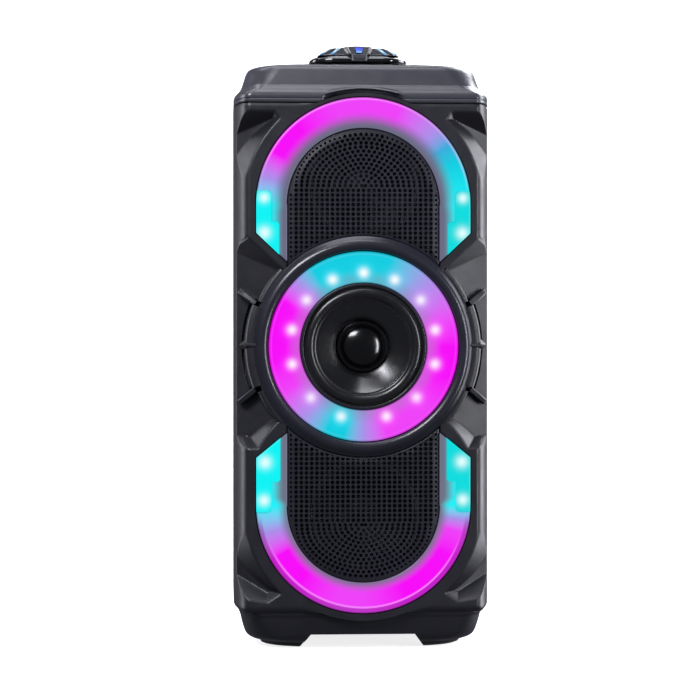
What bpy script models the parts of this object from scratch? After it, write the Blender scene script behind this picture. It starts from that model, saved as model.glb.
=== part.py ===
"""Portable party speaker: a column cabinet with a lit ring, two lit windows and a control console.

Lengths are in millimetres and become metres by MM. The front faces -Y, +Z is up, and the origin is
on the floor under the middle of the object.
"""

import math

import bmesh
import bpy
from mathutils import Matrix, Vector

MM = 0.001
GAP = 0.3

# Cabinet
HALF_W = 107.0
FRONT = -96.0
REAR = 101.0
SPLIT = -50.0
FRONT_CORNER = (14.0, 46.0)
REAR_CORNER = (30.0, 36.0)
WALL = 3.5
LEDGE = 31.5
SEAM = 451.5
DECK = 486.0

# Front layout
RING_Z = 251.0
UPPER_Z = 367.8
LOWER_Z = 119.5
UPPER_SLANT = (-23.4, (62.8, -47.6))
LOWER_SLANT = (-39.8, (63.2, -60.5))
FRAME_R = 99.2
BROW_R = 92.0
ARCH_R = 95.3
BUMP_R = 94.8
BUMP_DEPTH = 8.6
LENS_R = 88.4
GRILLE_R = 63.0
BEZEL_R = 90.0
RING_OUT_R = 78.3
RING_IN_R = 52.4
REBATE_BACK = -90.0
BAFFLE_BACK = -87.0

# Feet
FOOT_TOP = 12.4
FOOT_X = 43.2
FOOT_Y = 42.0

# Drivers
WOOFER_UP_Z = 384.0
WOOFER_LOW_Z = 112.0
CONE_R = 39.4
ROLL_R = 48.6
CENTRE_FLANGE_R = 51.6
WOOFER_FLANGE_R = 56.0
CENTRE_HOLE_R = 46.5
WOOFER_HOLE_R = 51.4
COIL_R = 13.2

# Console and deck
CROWN_BASE = 499.3
CROWN_TOP = 506.6
KEY_R = 6.0
KEY_Y = -62.0
KEY_X = (-45.0, -22.5, 0.0, 22.5, 45.0)

# Rear panel
PANEL_X = 58.0
PANEL_Z = (70.0, 140.0)
PORT_Z = 330.0
PORT_R = 24.0
GRIP_Z = (392.0, 430.0)
GRIP_X = 58.0
ROCKER_AT = (-38.0, 105.0)
MIC_AT = (-8.0, 105.0)
AUX_AT = (14.0, 118.0)
DC_AT = (14.0, 92.0)
USB_AT = (38.0, 105.0)

FINISHES = {
    "satin_black": ((0.035, 0.035, 0.042), 0.42, 0.0),
    "dark_grille": ((0.022, 0.022, 0.027), 0.38, 0.0),
    "gloss_black": ((0.01, 0.01, 0.012), 0.08, 0.0),
    "rubber": ((0.015, 0.015, 0.016), 0.7, 0.0),
    "lit_lens": ((0.85, 0.3, 0.9), 0.25, 0.0),
    "blue_lens": ((0.15, 0.5, 0.95), 0.2, 0.0),
    "board": ((0.02, 0.12, 0.05), 0.5, 0.0),
    "steel": ((0.45, 0.45, 0.47), 0.35, 1.0),
    "copper": ((0.7, 0.35, 0.2), 0.4, 1.0),
    "cloth": ((0.35, 0.22, 0.08), 0.9, 0.0),
    "battery": ((0.05, 0.09, 0.25), 0.5, 0.0),
}


def clear_scene():
    for obj in list(bpy.data.objects):
        bpy.data.objects.remove(obj, do_unlink=True)


def new_collection(name):
    made = bpy.data.collections.new(name)
    bpy.context.scene.collection.children.link(made)
    return made


clear_scene()
SPEAKER = new_collection("party_speaker")
CUTTERS = new_collection("cutters")


# ---------------------------------------------------------------- objects and finishes


def finish_material(name, finish):
    colour, roughness, metallic = FINISHES[finish]
    mat = bpy.data.materials.new(f"{name}_{finish}")
    mat.use_nodes = True
    shader = mat.node_tree.nodes["Principled BSDF"]
    shader.inputs["Base Color"].default_value = (*colour, 1.0)
    shader.inputs["Roughness"].default_value = roughness
    shader.inputs["Metallic"].default_value = metallic
    return mat


def part(name, mesh, finish):
    """A visible piece of the speaker."""
    obj = bpy.data.objects.new(name, mesh)
    obj.data.materials.append(finish_material(name, finish))
    SPEAKER.objects.link(obj)
    return obj


def helper(name, mesh):
    """A cutter or a joining shape, which isn't a piece itself."""
    obj = bpy.data.objects.new(name, mesh)
    obj.hide_render = True
    obj.display_type = "WIRE"
    CUTTERS.objects.link(obj)
    return obj


def boolean(obj, other, operation):
    modifier = obj.modifiers.new(other.name, "BOOLEAN")
    modifier.operation = operation
    modifier.object = other
    modifier.solver = "EXACT"


def cut(obj, *meshes):
    for mesh in meshes:
        boolean(obj, helper(f"cut_{mesh.name}", mesh), "DIFFERENCE")
    return obj


def join(obj, *meshes):
    for mesh in meshes:
        boolean(obj, helper(f"join_{mesh.name}", mesh), "UNION")
    return obj


def round_edges(obj, width, segments=2):
    modifier = obj.modifiers.new("edges", "BEVEL")
    modifier.width = width * MM
    modifier.segments = segments
    modifier.limit_method = "ANGLE"
    return obj


# ---------------------------------------------------------------- shapes


def outward(bm):
    bmesh.ops.recalc_face_normals(bm, faces=bm.faces)
    if bm.calc_volume(signed=True) < 0:
        bmesh.ops.reverse_faces(bm, faces=bm.faces)


def box(name, low, high):
    """A box between two corners."""
    mesh = bpy.data.meshes.new(name)
    bm = bmesh.new()
    bmesh.ops.create_cube(bm, size=1.0)
    size = [(b - a) * MM for a, b in zip(low, high)]
    centre = Vector([(a + b) / 2 * MM for a, b in zip(low, high)])
    bmesh.ops.scale(bm, vec=size, verts=bm.verts)
    bmesh.ops.translate(bm, vec=centre, verts=bm.verts)
    bm.to_mesh(mesh)
    bm.free()
    return mesh


def bar(name, start, end, width, depth, outward_dir):
    """A slim bar from one point to another, width across and depth along outward_dir."""
    start, end, up = Vector(start), Vector(end), Vector(outward_dir).normalized()
    along = (end - start).normalized()
    side = along.cross(up).normalized()
    up = side.cross(along).normalized()
    mesh = bpy.data.meshes.new(name)
    bm = bmesh.new()
    bmesh.ops.create_cube(bm, size=1.0)
    for vert in bm.verts:
        a, b, c = vert.co
        spot = (start + end) / 2 + along * a * (end - start).length + side * b * width + up * c * depth
        vert.co = spot * MM
    outward(bm)
    bm.to_mesh(mesh)
    bm.free()
    return mesh


def evaluated_mesh(name, obj):
    """The object's evaluated mesh in world space, welded, with the object removed."""
    bpy.context.view_layer.update()
    graph = bpy.context.evaluated_depsgraph_get()
    mesh = bpy.data.meshes.new_from_object(obj.evaluated_get(graph))
    mesh.transform(obj.matrix_world)
    bm = bmesh.new()
    bm.from_mesh(mesh)
    bmesh.ops.remove_doubles(bm, verts=bm.verts, dist=1e-6)
    outward(bm)
    bm.to_mesh(mesh)
    bm.free()
    mesh.name = name
    bpy.data.objects.remove(obj, do_unlink=True)
    return mesh


def plate(name, outlines, start, end, upright=True):
    """A flat piece: closed outlines, the first one outside and the rest holes, filled and extruded.

    Upright outlines are in X and Z and the piece runs from start to end along Y. The others are in
    X and Y and run along Z.
    """
    curve = bpy.data.curves.new(name, "CURVE")
    curve.dimensions = "2D"
    curve.fill_mode = "BOTH"
    curve.extrude = (end - start) / 2 * MM
    for outline in outlines:
        spline = curve.splines.new("POLY")
        spline.points.add(len(outline) - 1)
        for point, (a, b) in zip(spline.points, outline):
            point.co = (a * MM, b * MM, 0.0, 1.0)
        spline.use_cyclic_u = True
    obj = bpy.data.objects.new(name, curve)
    bpy.context.scene.collection.objects.link(obj)
    middle = (start + end) / 2 * MM
    if upright:
        obj.matrix_world = Matrix.Translation((0, middle, 0)) @ Matrix.Rotation(math.pi / 2, 4, "X")
    else:
        obj.matrix_world = Matrix.Translation((0, 0, middle))
    return evaluated_mesh(name, obj)


def loft(name, sections):
    """A closed solid through sections that have the same number of points."""
    count = len(sections[0])
    points = [[v * MM for v in point] for section in sections for point in section]
    faces = []
    for k in range(len(sections) - 1):
        for i in range(count):
            j = (i + 1) % count
            faces.append((k * count + i, k * count + j, (k + 1) * count + j, (k + 1) * count + i))
    faces.append(tuple(range(count)))
    faces.append(tuple(range((len(sections) - 1) * count, len(sections) * count)))
    mesh = bpy.data.meshes.new(name)
    mesh.from_pydata(points, [], faces)
    bm = bmesh.new()
    bm.from_mesh(mesh)
    bmesh.ops.triangulate(bm, faces=bm.faces, ngon_method="EAR_CLIP")
    outward(bm)
    bm.to_mesh(mesh)
    bm.free()
    return mesh


def profile_mesh(name, profile, closed):
    """The profile of a turned piece as a chain of edges, running down its outer side.

    A profile that meets the axis has two neighbouring points on it, and the chain runs from one to
    the other the long way round.
    """
    area = sum(
        r0 * h1 - r1 * h0 for (r0, h0), (r1, h1) in zip(profile, profile[1:] + profile[:1])
    )
    if area > 0:
        profile = profile[::-1]
    on_axis = [i for i in range(len(profile)) if profile[i][0] == 0 and profile[i - 1][0] == 0]
    if on_axis:
        profile = profile[on_axis[0] :] + profile[: on_axis[0]]
    points = [(r * MM, 0.0, h * MM) for r, h in profile]
    edges = [(i, i + 1) for i in range(len(points) - 1)]
    if closed:
        edges.append((len(points) - 1, 0))
    mesh = bpy.data.meshes.new(name)
    mesh.from_pydata(points, edges, [])
    return mesh


def turn(obj, steps):
    """Turns the object's profile about its own Z axis."""
    modifier = obj.modifiers.new("turn", "SCREW")
    modifier.axis = "Z"
    modifier.steps = steps
    modifier.render_steps = steps
    modifier.use_merge_vertices = True
    modifier.merge_threshold = 0.00001
    return obj


FORWARD = Matrix.Rotation(math.pi / 2, 4, "X")  # the object's own Z axis points to -Y


def turned(name, profile, finish, at, steps=32, forward=True):
    """A turned piece. Its profile is (radius, height), and height runs to -Y, or up."""
    obj = part(name, profile_mesh(name, profile, min(r for r, _ in profile) > 0), finish)
    turn(obj, steps)
    obj.matrix_world = Matrix.Translation([v * MM for v in at]) @ (FORWARD if forward else Matrix())
    return obj


def turned_mesh(name, profile, at, steps=32, forward=True):
    """The same as a plain mesh, for a cutter or a joining shape."""
    obj = bpy.data.objects.new(name, profile_mesh(name, profile, min(r for r, _ in profile) > 0))
    bpy.context.scene.collection.objects.link(obj)
    turn(obj, steps)
    obj.matrix_world = Matrix.Translation([v * MM for v in at]) @ (FORWARD if forward else Matrix())
    return evaluated_mesh(name, obj)


def drum(name, radius, at, length, steps=32, forward=True):
    """A plain cylinder that starts at a point and runs to -Y, or up."""
    return turned_mesh(name, [(0, 0), (0, length), (radius, length), (radius, 0)], at, steps, forward)


def arc(centre_x, centre_z, radius, start, end, steps):
    """Points on an arc, with angles in degrees from +X towards +Z."""
    turn_by = [math.radians(start + (end - start) * i / steps) for i in range(steps + 1)]
    return [(centre_x + radius * math.cos(t), centre_z + radius * math.sin(t)) for t in turn_by]


def mirrored(outline):
    """The outline of a right half, closed by its mirror image."""
    return outline + [(-x, z) for x, z in reversed(outline) if abs(x) > 1e-9]


def plan(inset, front_corner=FRONT_CORNER, rear_corner=REAR_CORNER, front=FRONT, rear=REAR, steps=5):
    """The cabinet's outline in X and Y, inset all round."""
    half, near, far = HALF_W - inset, front + inset, rear - inset
    quarter = [math.radians(90 * i / steps) for i in range(steps + 1)]
    (fx, fy), (rx, ry) = front_corner, rear_corner
    right = [(half - fx + fx * math.sin(t), near + fy - fy * math.cos(t)) for t in quarter]
    right += [(half - rx + rx * math.cos(t), far - ry + ry * math.sin(t)) for t in quarter]
    return right + [(-x, y) for x, y in reversed(right)]


def at_height(outline, z):
    return [(x, y, z) for x, y in outline]


# ---------------------------------------------------------------- outlines of the front


def lens_outline(radius, centre_z, up, grow=0.0):
    """A window: an arc away from the ring, straight sides, slanted ends, and the bezel's arc.

    up is 1 for the upper window and -1 for the lower one.
    """
    reach = radius + grow
    inner = BEZEL_R + 1.4 - grow
    side_z, (tip_x, tip_z) = UPPER_SLANT if up > 0 else LOWER_SLANT
    tip = (tip_x + grow * 0.7, tip_z - grow * 0.7)
    top = arc(0, 0, reach, 90, 0, 12)
    low = arc(0, -abs(centre_z - RING_Z), inner, math.degrees(math.acos(tip_x / inner)), 90, 6)
    right = top + [(reach, side_z)] + [tip] + low
    outline = mirrored(right)
    return [(x, centre_z + up * z) for x, z in outline]


def grille_outline(centre_z, up, grow=0.0):
    """The grille inside a window: an arc, straight sides and the bezel's arc."""
    reach = GRILLE_R + grow
    inner = BEZEL_R + 1.4 - grow
    side = reach - 0.4
    right = arc(0, 0, reach, 90, 6, 10)
    low = arc(0, -abs(centre_z - RING_Z), inner, math.degrees(math.acos(side / inner)), 90, 6)
    outline = mirrored(right + low)
    return [(x, centre_z + up * z) for x, z in outline]


def pocket_depth(x):
    """How far back the flat floor of a pocket is, deeper towards the side."""
    return FRONT + 4.0 + (abs(x) - 70.0) * 0.45


def pocket(name, front, floor):
    """A cutter from an outline in front of the shell to a smaller one on the slanting floor."""
    near = [(x, FRONT - 1.0, z) for x, z in front]
    deep = [(x, pocket_depth(x), z) for x, z in floor]
    return loft(name, [near, deep])


def corner_pocket(side, centre_z, up):
    """The triangular pocket beside a window, in a corner of the front."""
    high = 76.7
    front = arc(0, 0, FRAME_R, 46, 11, 6) + [(HALF_W + 3, 19.0), (HALF_W + 3, high), (75.0, high)]
    floor = arc(0, 0, FRAME_R + 5, 42, 13, 6) + [(HALF_W + 3, 24.0), (HALF_W + 3, 70.0), (84.0, 69.0)]
    outlines = [[(side * x, centre_z + up * z) for x, z in o] for o in (front, floor)]
    return pocket(f"pocket_{'upper' if up > 0 else 'lower'}_{'right' if side > 0 else 'left'}", *outlines)


def side_field(side):
    """The recess beside the ring, between the slanted arms of the frame."""
    front = [(HALF_W + 3, 90.0), (95.4, 90.0), (66.5, 63.6)]
    front += arc(0, 0, 93.2, 42, -42, 10)
    front += [(68.5, -64.5), (95.4, -84.5), (HALF_W + 3, -84.5)]
    floor = [(HALF_W + 3, 82.0), (96.0, 82.0), (75.0, 63.0)]
    floor += arc(0, 0, 97.5, 38, -38, 10)
    floor += [(76.0, -62.0), (96.0, -77.0), (HALF_W + 3, -77.0)]
    outlines = [[(side * x, RING_Z + z) for x, z in o] for o in (front, floor)]
    return pocket(f"field_{'right' if side > 0 else 'left'}", *outlines)


def strut(side, up):
    """A slanting bar from the ring's flange to the cabinet's side."""
    start = (side * 89.5, -88.0, RING_Z + up * 36.0)
    end = (side * 101.0, -82.5, RING_Z + up * 46.0)
    name = f"strut_{'upper' if up > 0 else 'lower'}_{'right' if side > 0 else 'left'}"
    return bar(name, start, end, 5.2, 9.0, (0, -1, 0))


# ---------------------------------------------------------------- cabinet


def cabinet_outer(name):
    levels = ((LEDGE, 3.2), (33.5, 1.3), (36.5, 0.0), (SEAM - 1.6, 0.0), (SEAM - GAP, 0.9))
    return loft(name, [at_height(plan(inset), z) for z, inset in levels])


def cabinet_cavity(name):
    """The hollow, with its front behind the baffle and its front corners behind the pockets."""
    inside = plan(WALL, (40.0, 34.0), (27.0, 33.0), front=BAFFLE_BACK - WALL, steps=3)
    return loft(name, [at_height(inside, LEDGE - 10), at_height(inside, SEAM + 10)])


def front_shell():
    shell = part("front_shell", cabinet_outer("front_shell"), "satin_black")
    for word, centre, radius in (("upper", UPPER_Z, BROW_R), ("lower", LOWER_Z, BUMP_R)):
        join(shell, drum(f"{word}_brow", radius, (0, FRONT + BUMP_DEPTH, centre), BUMP_DEPTH - 0.5, 96))
    cut(shell, cabinet_cavity("front_cavity"))
    behind = box("front_behind", (-200, SPLIT - GAP / 2, -50), (200, 300, 600))
    cut(shell, behind)
    for up, centre in ((1, UPPER_Z), (-1, LOWER_Z)):
        word = "upper" if up > 0 else "lower"
        outline = lens_outline(LENS_R, centre, up, 0.4)
        cut(shell, plate(f"{word}_rebate", [outline], FRONT - 5, REBATE_BACK))
    cut(shell, drum("ring_rebate", RING_OUT_R + 0.4, (0, REBATE_BACK, RING_Z), 12, 64))
    cut(shell, drum("centre_hole", CENTRE_HOLE_R, (0, -80, RING_Z), 12, 40))
    cut(shell, drum("upper_hole", WOOFER_HOLE_R, (0, -80, WOOFER_UP_Z), 12, 40))
    cut(shell, drum("lower_hole", WOOFER_HOLE_R, (0, -80, WOOFER_LOW_Z), 12, 40))
    for side in (-1, 1):
        cut(shell, corner_pocket(side, UPPER_Z, 1), corner_pocket(side, LOWER_Z, -1), side_field(side))
        join(shell, strut(side, 1), strut(side, -1))


def rear_shell():
    shell = part("rear_shell", cabinet_outer("rear_shell"), "satin_black")
    cut(shell, cabinet_cavity("rear_cavity"))
    cut(shell, box("rear_before", (-200, -300, -50), (200, SPLIT + GAP / 2, 600)))
    low, high = PANEL_Z
    cut(shell, box("panel_window", (-PANEL_X, REAR - 20, low), (PANEL_X, REAR + 5, high)))
    cut(shell, drum("port_window", PORT_R + 0.4, (0, REAR + 5, PORT_Z), 24))
    low, high = GRIP_Z
    cut(shell, box("grip_window", (-GRIP_X, REAR - 20, low), (GRIP_X, REAR + 5, high)))


def top_cap():
    levels = (
        (SEAM + GAP, 0.6),
        (SEAM + 1.2, 0.0),
        (457.6, 0.0),
        (460.4, 0.9),
        (463.6, 3.6),
        (467.2, 6.1),
        (473.0, 8.1),
        (479.0, 9.9),
        (482.4, 11.4),
        (484.4, 14.0),
        (485.6, 18.0),
        (DECK, 24.0),
    )
    sections = []
    for z, inset in levels:
        corner = (FRONT_CORNER[0] + inset * 1.4, FRONT_CORNER[1] - inset * 0.5)
        sections.append(at_height(plan(inset, corner), z))
    cap = part("top_cap", loft("top_cap", sections), "satin_black")
    hollow = [
        at_height(plan(12.0, (22.0, 40.0)), SEAM - 5),
        at_height(plan(12.0, (22.0, 40.0)), 462.0),
        at_height(plan(24.0, (24.0, 34.0)), DECK - 3.5),
    ]
    cut(cap, loft("cap_hollow", hollow))
    cut(cap, drum("upper_clearance", ARCH_R, (0, FRONT + BUMP_DEPTH + GAP, UPPER_Z), 30, 96))
    for index, x in enumerate(KEY_X):
        cut(cap, drum(f"key_hole_{index}", KEY_R + 0.4, (x, KEY_Y, DECK - 10), 20, 16, False))


def base_plan(inset):
    return plan(inset, (FRONT_CORNER[0] + inset * 1.5, FRONT_CORNER[1] - inset * 0.5))


def foot_block(name, side, near):
    """A foot that follows the plinth's corner outside and has two straight sides inside."""
    middle = (FRONT + REAR) / 2
    sections = []
    for z, inset in ((17.0, 11.9), (12.0, 12.5), (9.0, 13.0), (6.4, 15.6), (4.6, 19.2), (3.6, 20.6)):
        corner = base_plan(inset)[:6] if near < 0 else base_plan(inset)[11:5:-1]
        lean = 0.72 * max(FOOT_TOP - z, 0)
        x_in, y_in = FOOT_X + lean, middle + near * (FOOT_Y + lean)
        ring = [(x_in, corner[0][1]), *corner, (corner[-1][0], y_in), (x_in, y_in)]
        sections.append([(side * x, y, z) for x, y in ring])
    return loft(name, sections)


def base_plinth():
    levels = ((FOOT_TOP, 12.0), (24.0, 8.6), (29.0, 6.6), (LEDGE - GAP, 4.6))
    sections = [at_height(base_plan(inset), z) for z, inset in levels]
    base = part("base_plinth", loft("base_plinth", sections), "satin_black")
    inside = plan(17.0, (24.0, 38.0))
    cut(base, loft("plinth_hollow", [at_height(inside, 22.0), at_height(inside, 40.0)]))
    cut(base, drum("lower_clearance", BUMP_R + 0.6, (0, FRONT + BUMP_DEPTH + GAP, LOWER_Z), 30, 96))
    for side in (-1, 1):
        for near in (-1, 1):
            join(base, foot_block(f"foot_{side}_{near}", side, near))


def foot_pads():
    for side, side_word in ((-1, "left"), (1, "right")):
        for near, near_word in ((-1, "front"), (1, "rear")):
            xs = sorted((side * 54.5, side * 85.0))
            ys = sorted((near * 43.0 + 2.5, near * 76.5 + 2.5))
            name = f"foot_pad_{near_word}_{side_word}"
            pad = part(name, box(name, (xs[0], ys[0], 0), (xs[1], ys[1], 3.6 - GAP)), "rubber")
            round_edges(pad, 1.0, 1)


# ---------------------------------------------------------------- lights, grilles and trim


def window_lights():
    for up, centre, word in ((1, UPPER_Z, "upper"), (-1, LOWER_Z, "lower")):
        outer = lens_outline(LENS_R, centre, up)
        inner = grille_outline(centre, up, 0.4)
        lens = part(f"{word}_light_lens", plate(f"{word}_light_lens", [outer], -97.2, -94.0), "lit_lens")
        cut(lens, plate(f"{word}_lens_opening", [inner], -100, -91))
        board = lens_outline(LENS_R, centre, up, -2.0)
        leds = part(f"{word}_led_board", plate(f"{word}_led_board", [board], -91.6, -90.3), "board")
        cut(leds, plate(f"{word}_board_opening", [grille_outline(centre, up, 2.0)], -94, -88))
        grille = part(
            f"{word}_grille", plate(f"{word}_grille", [grille_outline(centre, up)], -96.0, -92.4), "dark_grille"
        )
        cut(grille, plate(f"{word}_grille_hollow", [grille_outline(centre, up, -2.2)], -94.2, -85))


def ring_lights():
    at = (0, 0, RING_Z)
    inner, outer = RING_IN_R, RING_OUT_R
    lens = [
        (inner, 94.8), (inner, 96.6), (inner + 6, 97.6), (outer - 8, 97.9),
        (outer - 2, 97.4), (outer, 96.2), (outer, 94.8),
    ]
    turned("ring_light_lens", lens, "lit_lens", at, 48)
    board = [(inner + 1, 90.3), (inner + 1, 91.6), (outer - 1, 91.6), (outer - 1, 90.3)]
    turned("ring_led_board", board, "board", at, 36)
    bezel = [(79.0, 96.3), (79.0, 98.4), (81.0, 100.2), (84.0, 101.0), (87.4, 100.0), (89.6, 97.9), (90.0, 96.3)]
    turned("ring_bezel", bezel, "satin_black", at, 48)
    trim = [(49.6, 94.3), (49.6, 96.6), (50.4, 97.4), (51.6, 97.0), (52.0, 94.3)]
    turned("driver_trim_ring", trim, "satin_black", at, 40)


# ---------------------------------------------------------------- drivers


def driver(word, z, front, flange, finish, full):
    """A loudspeaker driver. front is how far before the middle its mounting flange's face is.

    The centre driver is full, with its own coil, spider and dust cap. The hidden woofers are
    plainer, and theirs are part of the cone.
    """
    at = (0, -front, z)
    basket = [
        (45.4, 0.0), (flange, 0.0), (flange, -2.2), (45.8, -2.4), (42.0, -12.0),
        (33.0, -34.0), (33.0, -38.0), (15.4, -38.0), (15.4, -36.0), (30.6, -36.0), (39.6, -12.0), (42.6, -2.0),
    ]
    frame = turned(f"{word}_basket", basket, "steel", at, 20)
    for index in range(3):
        turn_by = math.radians(30 + 60 * index)
        reach = Vector((math.cos(turn_by), 0, math.sin(turn_by))) * 70
        middle = Vector((0, -front + 21.5, z))
        cut(frame, bar(f"{word}_window_{index}", middle - reach, middle + reach, 17.0, 14.0, (0, -1, 0)))
    magnet = [
        (0, -38.6 - 22.0), (0, -34.0), (11.9, -34.0), (11.9, -55.0), (20.0, -55.0), (20.0, -43.0),
        (14.6, -43.0), (14.6, -38.4), (38.0, -38.4), (38.0, -60.6),
    ]
    turned(f"{word}_magnet", magnet, "steel", at, 20)
    roll = [
        (ROLL_R + 2.2, 0.4), (ROLL_R + 2.2, 1.4), (ROLL_R, 1.4), (46.4, 4.4), (44.0, 5.2), (41.6, 4.4),
        (40.2, 1.4), (38.4, 1.4), (38.4, 0.5), (41.0, 0.5), (44.0, 4.0), (47.4, 0.4),
    ]
    turned(f"{word}_surround", roll, "rubber", at, 24)
    if full:
        cone = [(CONE_R, 0.1), (39.0, -1.0), (14.4, -19.0), (14.4, -21.4), (15.2, -21.0), (CONE_R + 0.6, -1.2)]
        turned(f"{word}_cone", cone, finish, at, 36)
        coil = [(COIL_R - 0.6, -18.0), (COIL_R, -18.0), (COIL_R, -47.0), (COIL_R - 0.6, -47.0)]
        turned(f"{word}_voice_coil", coil, "copper", at, 20)
        cap = [
            (20.6, -12.6), (17.6, -8.6), (11.8, -4.4), (6.0, -2.4), (0, -1.8),
            (0, -2.8), (5.8, -3.4), (11.2, -5.4), (16.8, -9.4), (19.8, -13.4),
        ]
        turned(f"{word}_dust_cap", cap, finish, at, 24)
        ripple = [(14.0 + 3.0 * i, -27.2 + (0.8 if i % 2 else -0.8)) for i in range(6)]
        spider = [(r, h + 0.4) for r, h in ripple] + [(r, h - 0.4) for r, h in reversed(ripple)]
        turned(f"{word}_spider", spider, "cloth", at, 20)
        return
    cone = [
        (CONE_R, 0.1), (39.0, -1.0), (14.0, -17.0), (0, -14.0), (0, -15.4), (12.6, -18.4),
        (12.6, -47.0), (13.2, -47.0), (13.2, -21.4), (CONE_R + 0.6, -1.2),
    ]
    turned(f"{word}_cone", cone, finish, at, 20)


# ---------------------------------------------------------------- console, knob and keys


def rounded(half_x, half_y, corner, z, steps=3):
    """A rectangle with rounded or, with one step, cut corners."""
    ring = []
    for sx, sy, start in ((1, -1, 270), (1, 1, 0), (-1, 1, 90), (-1, -1, 180)):
        ring += arc(sx * (half_x - corner), sy * (half_y - corner), corner, start, start + 90, steps)
    return [(x, y, z) for x, y in ring]


def console():
    neck = loft("console_neck", [rounded(37, 33, 20, DECK + GAP), rounded(37, 33, 20, 492.4)])
    part("console_neck", neck, "satin_black")
    collar = [rounded(40.6, 36.6, 22, 492.7, 5), rounded(41.8, 37.8, 22, 494.0, 5), rounded(41.4, 37.4, 22, 496.4, 5),
              rounded(39.0, 35.0, 21, 498.2, 5), rounded(35.6, 31.6, 20, 499.0, 5)]
    part("console_collar", loft("console_collar", collar), "gloss_black")
    crown = loft("console_crown", [rounded(34.8, 31, 9, CROWN_BASE, 1), rounded(24.8, 21.5, 7, CROWN_TOP, 1)])
    body = part("console_crown", crown, "satin_black")
    cut(body, drum("knob_well", 19.2, (0, 0, 503.0), 12, 40, False))
    shape = ((6.6, -42.5, 493.0), (7.0, -37.8, 499.2), (8.6, -34.8, 500.4), (11.0, -25.3, 507.4))
    sections = [[(-x, y, z), (x, y, z), (x, y - 1.8, z), (-x, y - 1.8, z)] for x, y, z in shape]
    part("console_v_frame", loft("console_v_frame", sections), "gloss_black")


def indicator():
    shape = ((2.2, -36.3, 501.0), (3.6, -29.0, 506.4))
    sections = [[(-x, y, z), (x, y, z), (x, y - 0.8, z), (-x, y - 0.8, z)] for x, y, z in shape]
    part("indicator_lens", loft("indicator_lens", sections), "blue_lens")


def light_strips():
    for side, word in ((-1, "left"), (1, "right")):
        inner = ((side * 23.0, -32.0, 500.4), (side * 17.0, -23.6, 506.4))
        part(
            f"light_strip_inner_{word}",
            bar(f"light_strip_inner_{word}", *inner, 1.8, 1.2, (0, -0.6, 0.8)),
            "blue_lens",
        )
        outer = ((side * 32.6, -26.4, 500.6), (side * 24.0, -18.4, 506.0))
        part(
            f"light_strip_outer_{word}",
            bar(f"light_strip_outer_{word}", *outer, 1.8, 1.2, (side * 0.5, -0.5, 0.9)),
            "blue_lens",
        )


def volume_knob():
    knob = [
        (0, 503.4), (0, 510.6), (7.0, 510.4), (12.6, 509.6), (16.8, 508.2), (18.7, 506.6), (18.7, 503.4),
    ]
    turned("volume_knob", knob, "gloss_black", (0, 0, 0), 32, False)


def keys():
    names = ("previous", "play", "mode", "next", "light")
    for word, x in zip(names, KEY_X):
        shape = [
            (0, -6.0), (0, 1.0), (KEY_R - 1.0, 1.0), (KEY_R, 0.2), (KEY_R, -3.9), (KEY_R + 1.2, -3.9), (KEY_R + 1.2, -6.0),
        ]
        turned(f"key_{word}", shape, "rubber", (x, KEY_Y, DECK), 16, False)


# ---------------------------------------------------------------- rear and inside


def rear_panel():
    low, high = PANEL_Z
    panel = part(
        "input_panel",
        box("input_panel", (-PANEL_X + GAP, REAR - 3.0, low + GAP), (PANEL_X - GAP, REAR - 0.6, high - GAP)),
        "gloss_black",
    )
    x, z = ROCKER_AT
    cut(panel, box("rocker_window", (x - 7, REAR - 10, z - 11), (x + 7, REAR + 5, z + 11)))
    for word, (x, z), radius in (("mic", MIC_AT, 8.2), ("aux", AUX_AT, 5.0), ("dc", DC_AT, 5.6)):
        cut(panel, drum(f"{word}_window", radius, (x, REAR + 5, z), 20, 16))
    x, z = USB_AT
    cut(panel, box("usb_window", (x - 7.6, REAR - 10, z - 3.9), (x + 7.6, REAR + 5, z + 3.9)))


def jack(name, spot, radius, bore, depth):
    """A round socket that shows through the rear panel."""
    shape = [
        (0, -depth), (0, -depth + 3.0), (bore, -depth + 3.0), (bore, 0.0), (radius, 0.0), (radius, -depth),
    ]
    obj = turned(name, shape, "satin_black", (spot[0], REAR, spot[1]), 16)
    obj.matrix_world = Matrix.Translation((spot[0] * MM, REAR * MM, spot[1] * MM)) @ Matrix.Rotation(
        -math.pi / 2, 4, "X"
    )


def sockets():
    jack("mic_jack", MIC_AT, 7.9, 3.3, 24.0)
    jack("aux_jack", AUX_AT, 4.7, 2.1, 14.0)
    jack("dc_inlet", DC_AT, 5.3, 3.2, 14.0)
    x, z = USB_AT
    usb = part("usb_port", box("usb_port", (x - 7.3, REAR - 16, z - 3.6), (x + 7.3, REAR - 0.2, z + 3.6)), "steel")
    cut(usb, box("usb_mouth", (x - 6.4, REAR - 13, z - 2.6), (x + 6.4, REAR + 5, z + 2.6)))


def power_rocker():
    x, z = ROCKER_AT
    outline = [(x - 6.6, REAR + 2.0, z + 9.4), (x - 6.6, REAR - 0.4, z), (x - 6.6, REAR + 0.4, z - 9.4)]
    outline += [(x - 6.6, REAR - 6.0, z - 7.2), (x - 6.6, REAR - 6.0, z + 7.2)]
    other = [(x + 6.6, y, h) for _, y, h in outline]
    rocker = part("power_rocker", loft("power_rocker", [outline, other]), "rubber")
    pivot = Matrix.Translation(Vector((x, REAR - 4.0, z)) * MM)
    rocker.data.transform(pivot.inverted())
    rocker.matrix_world = pivot


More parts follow.
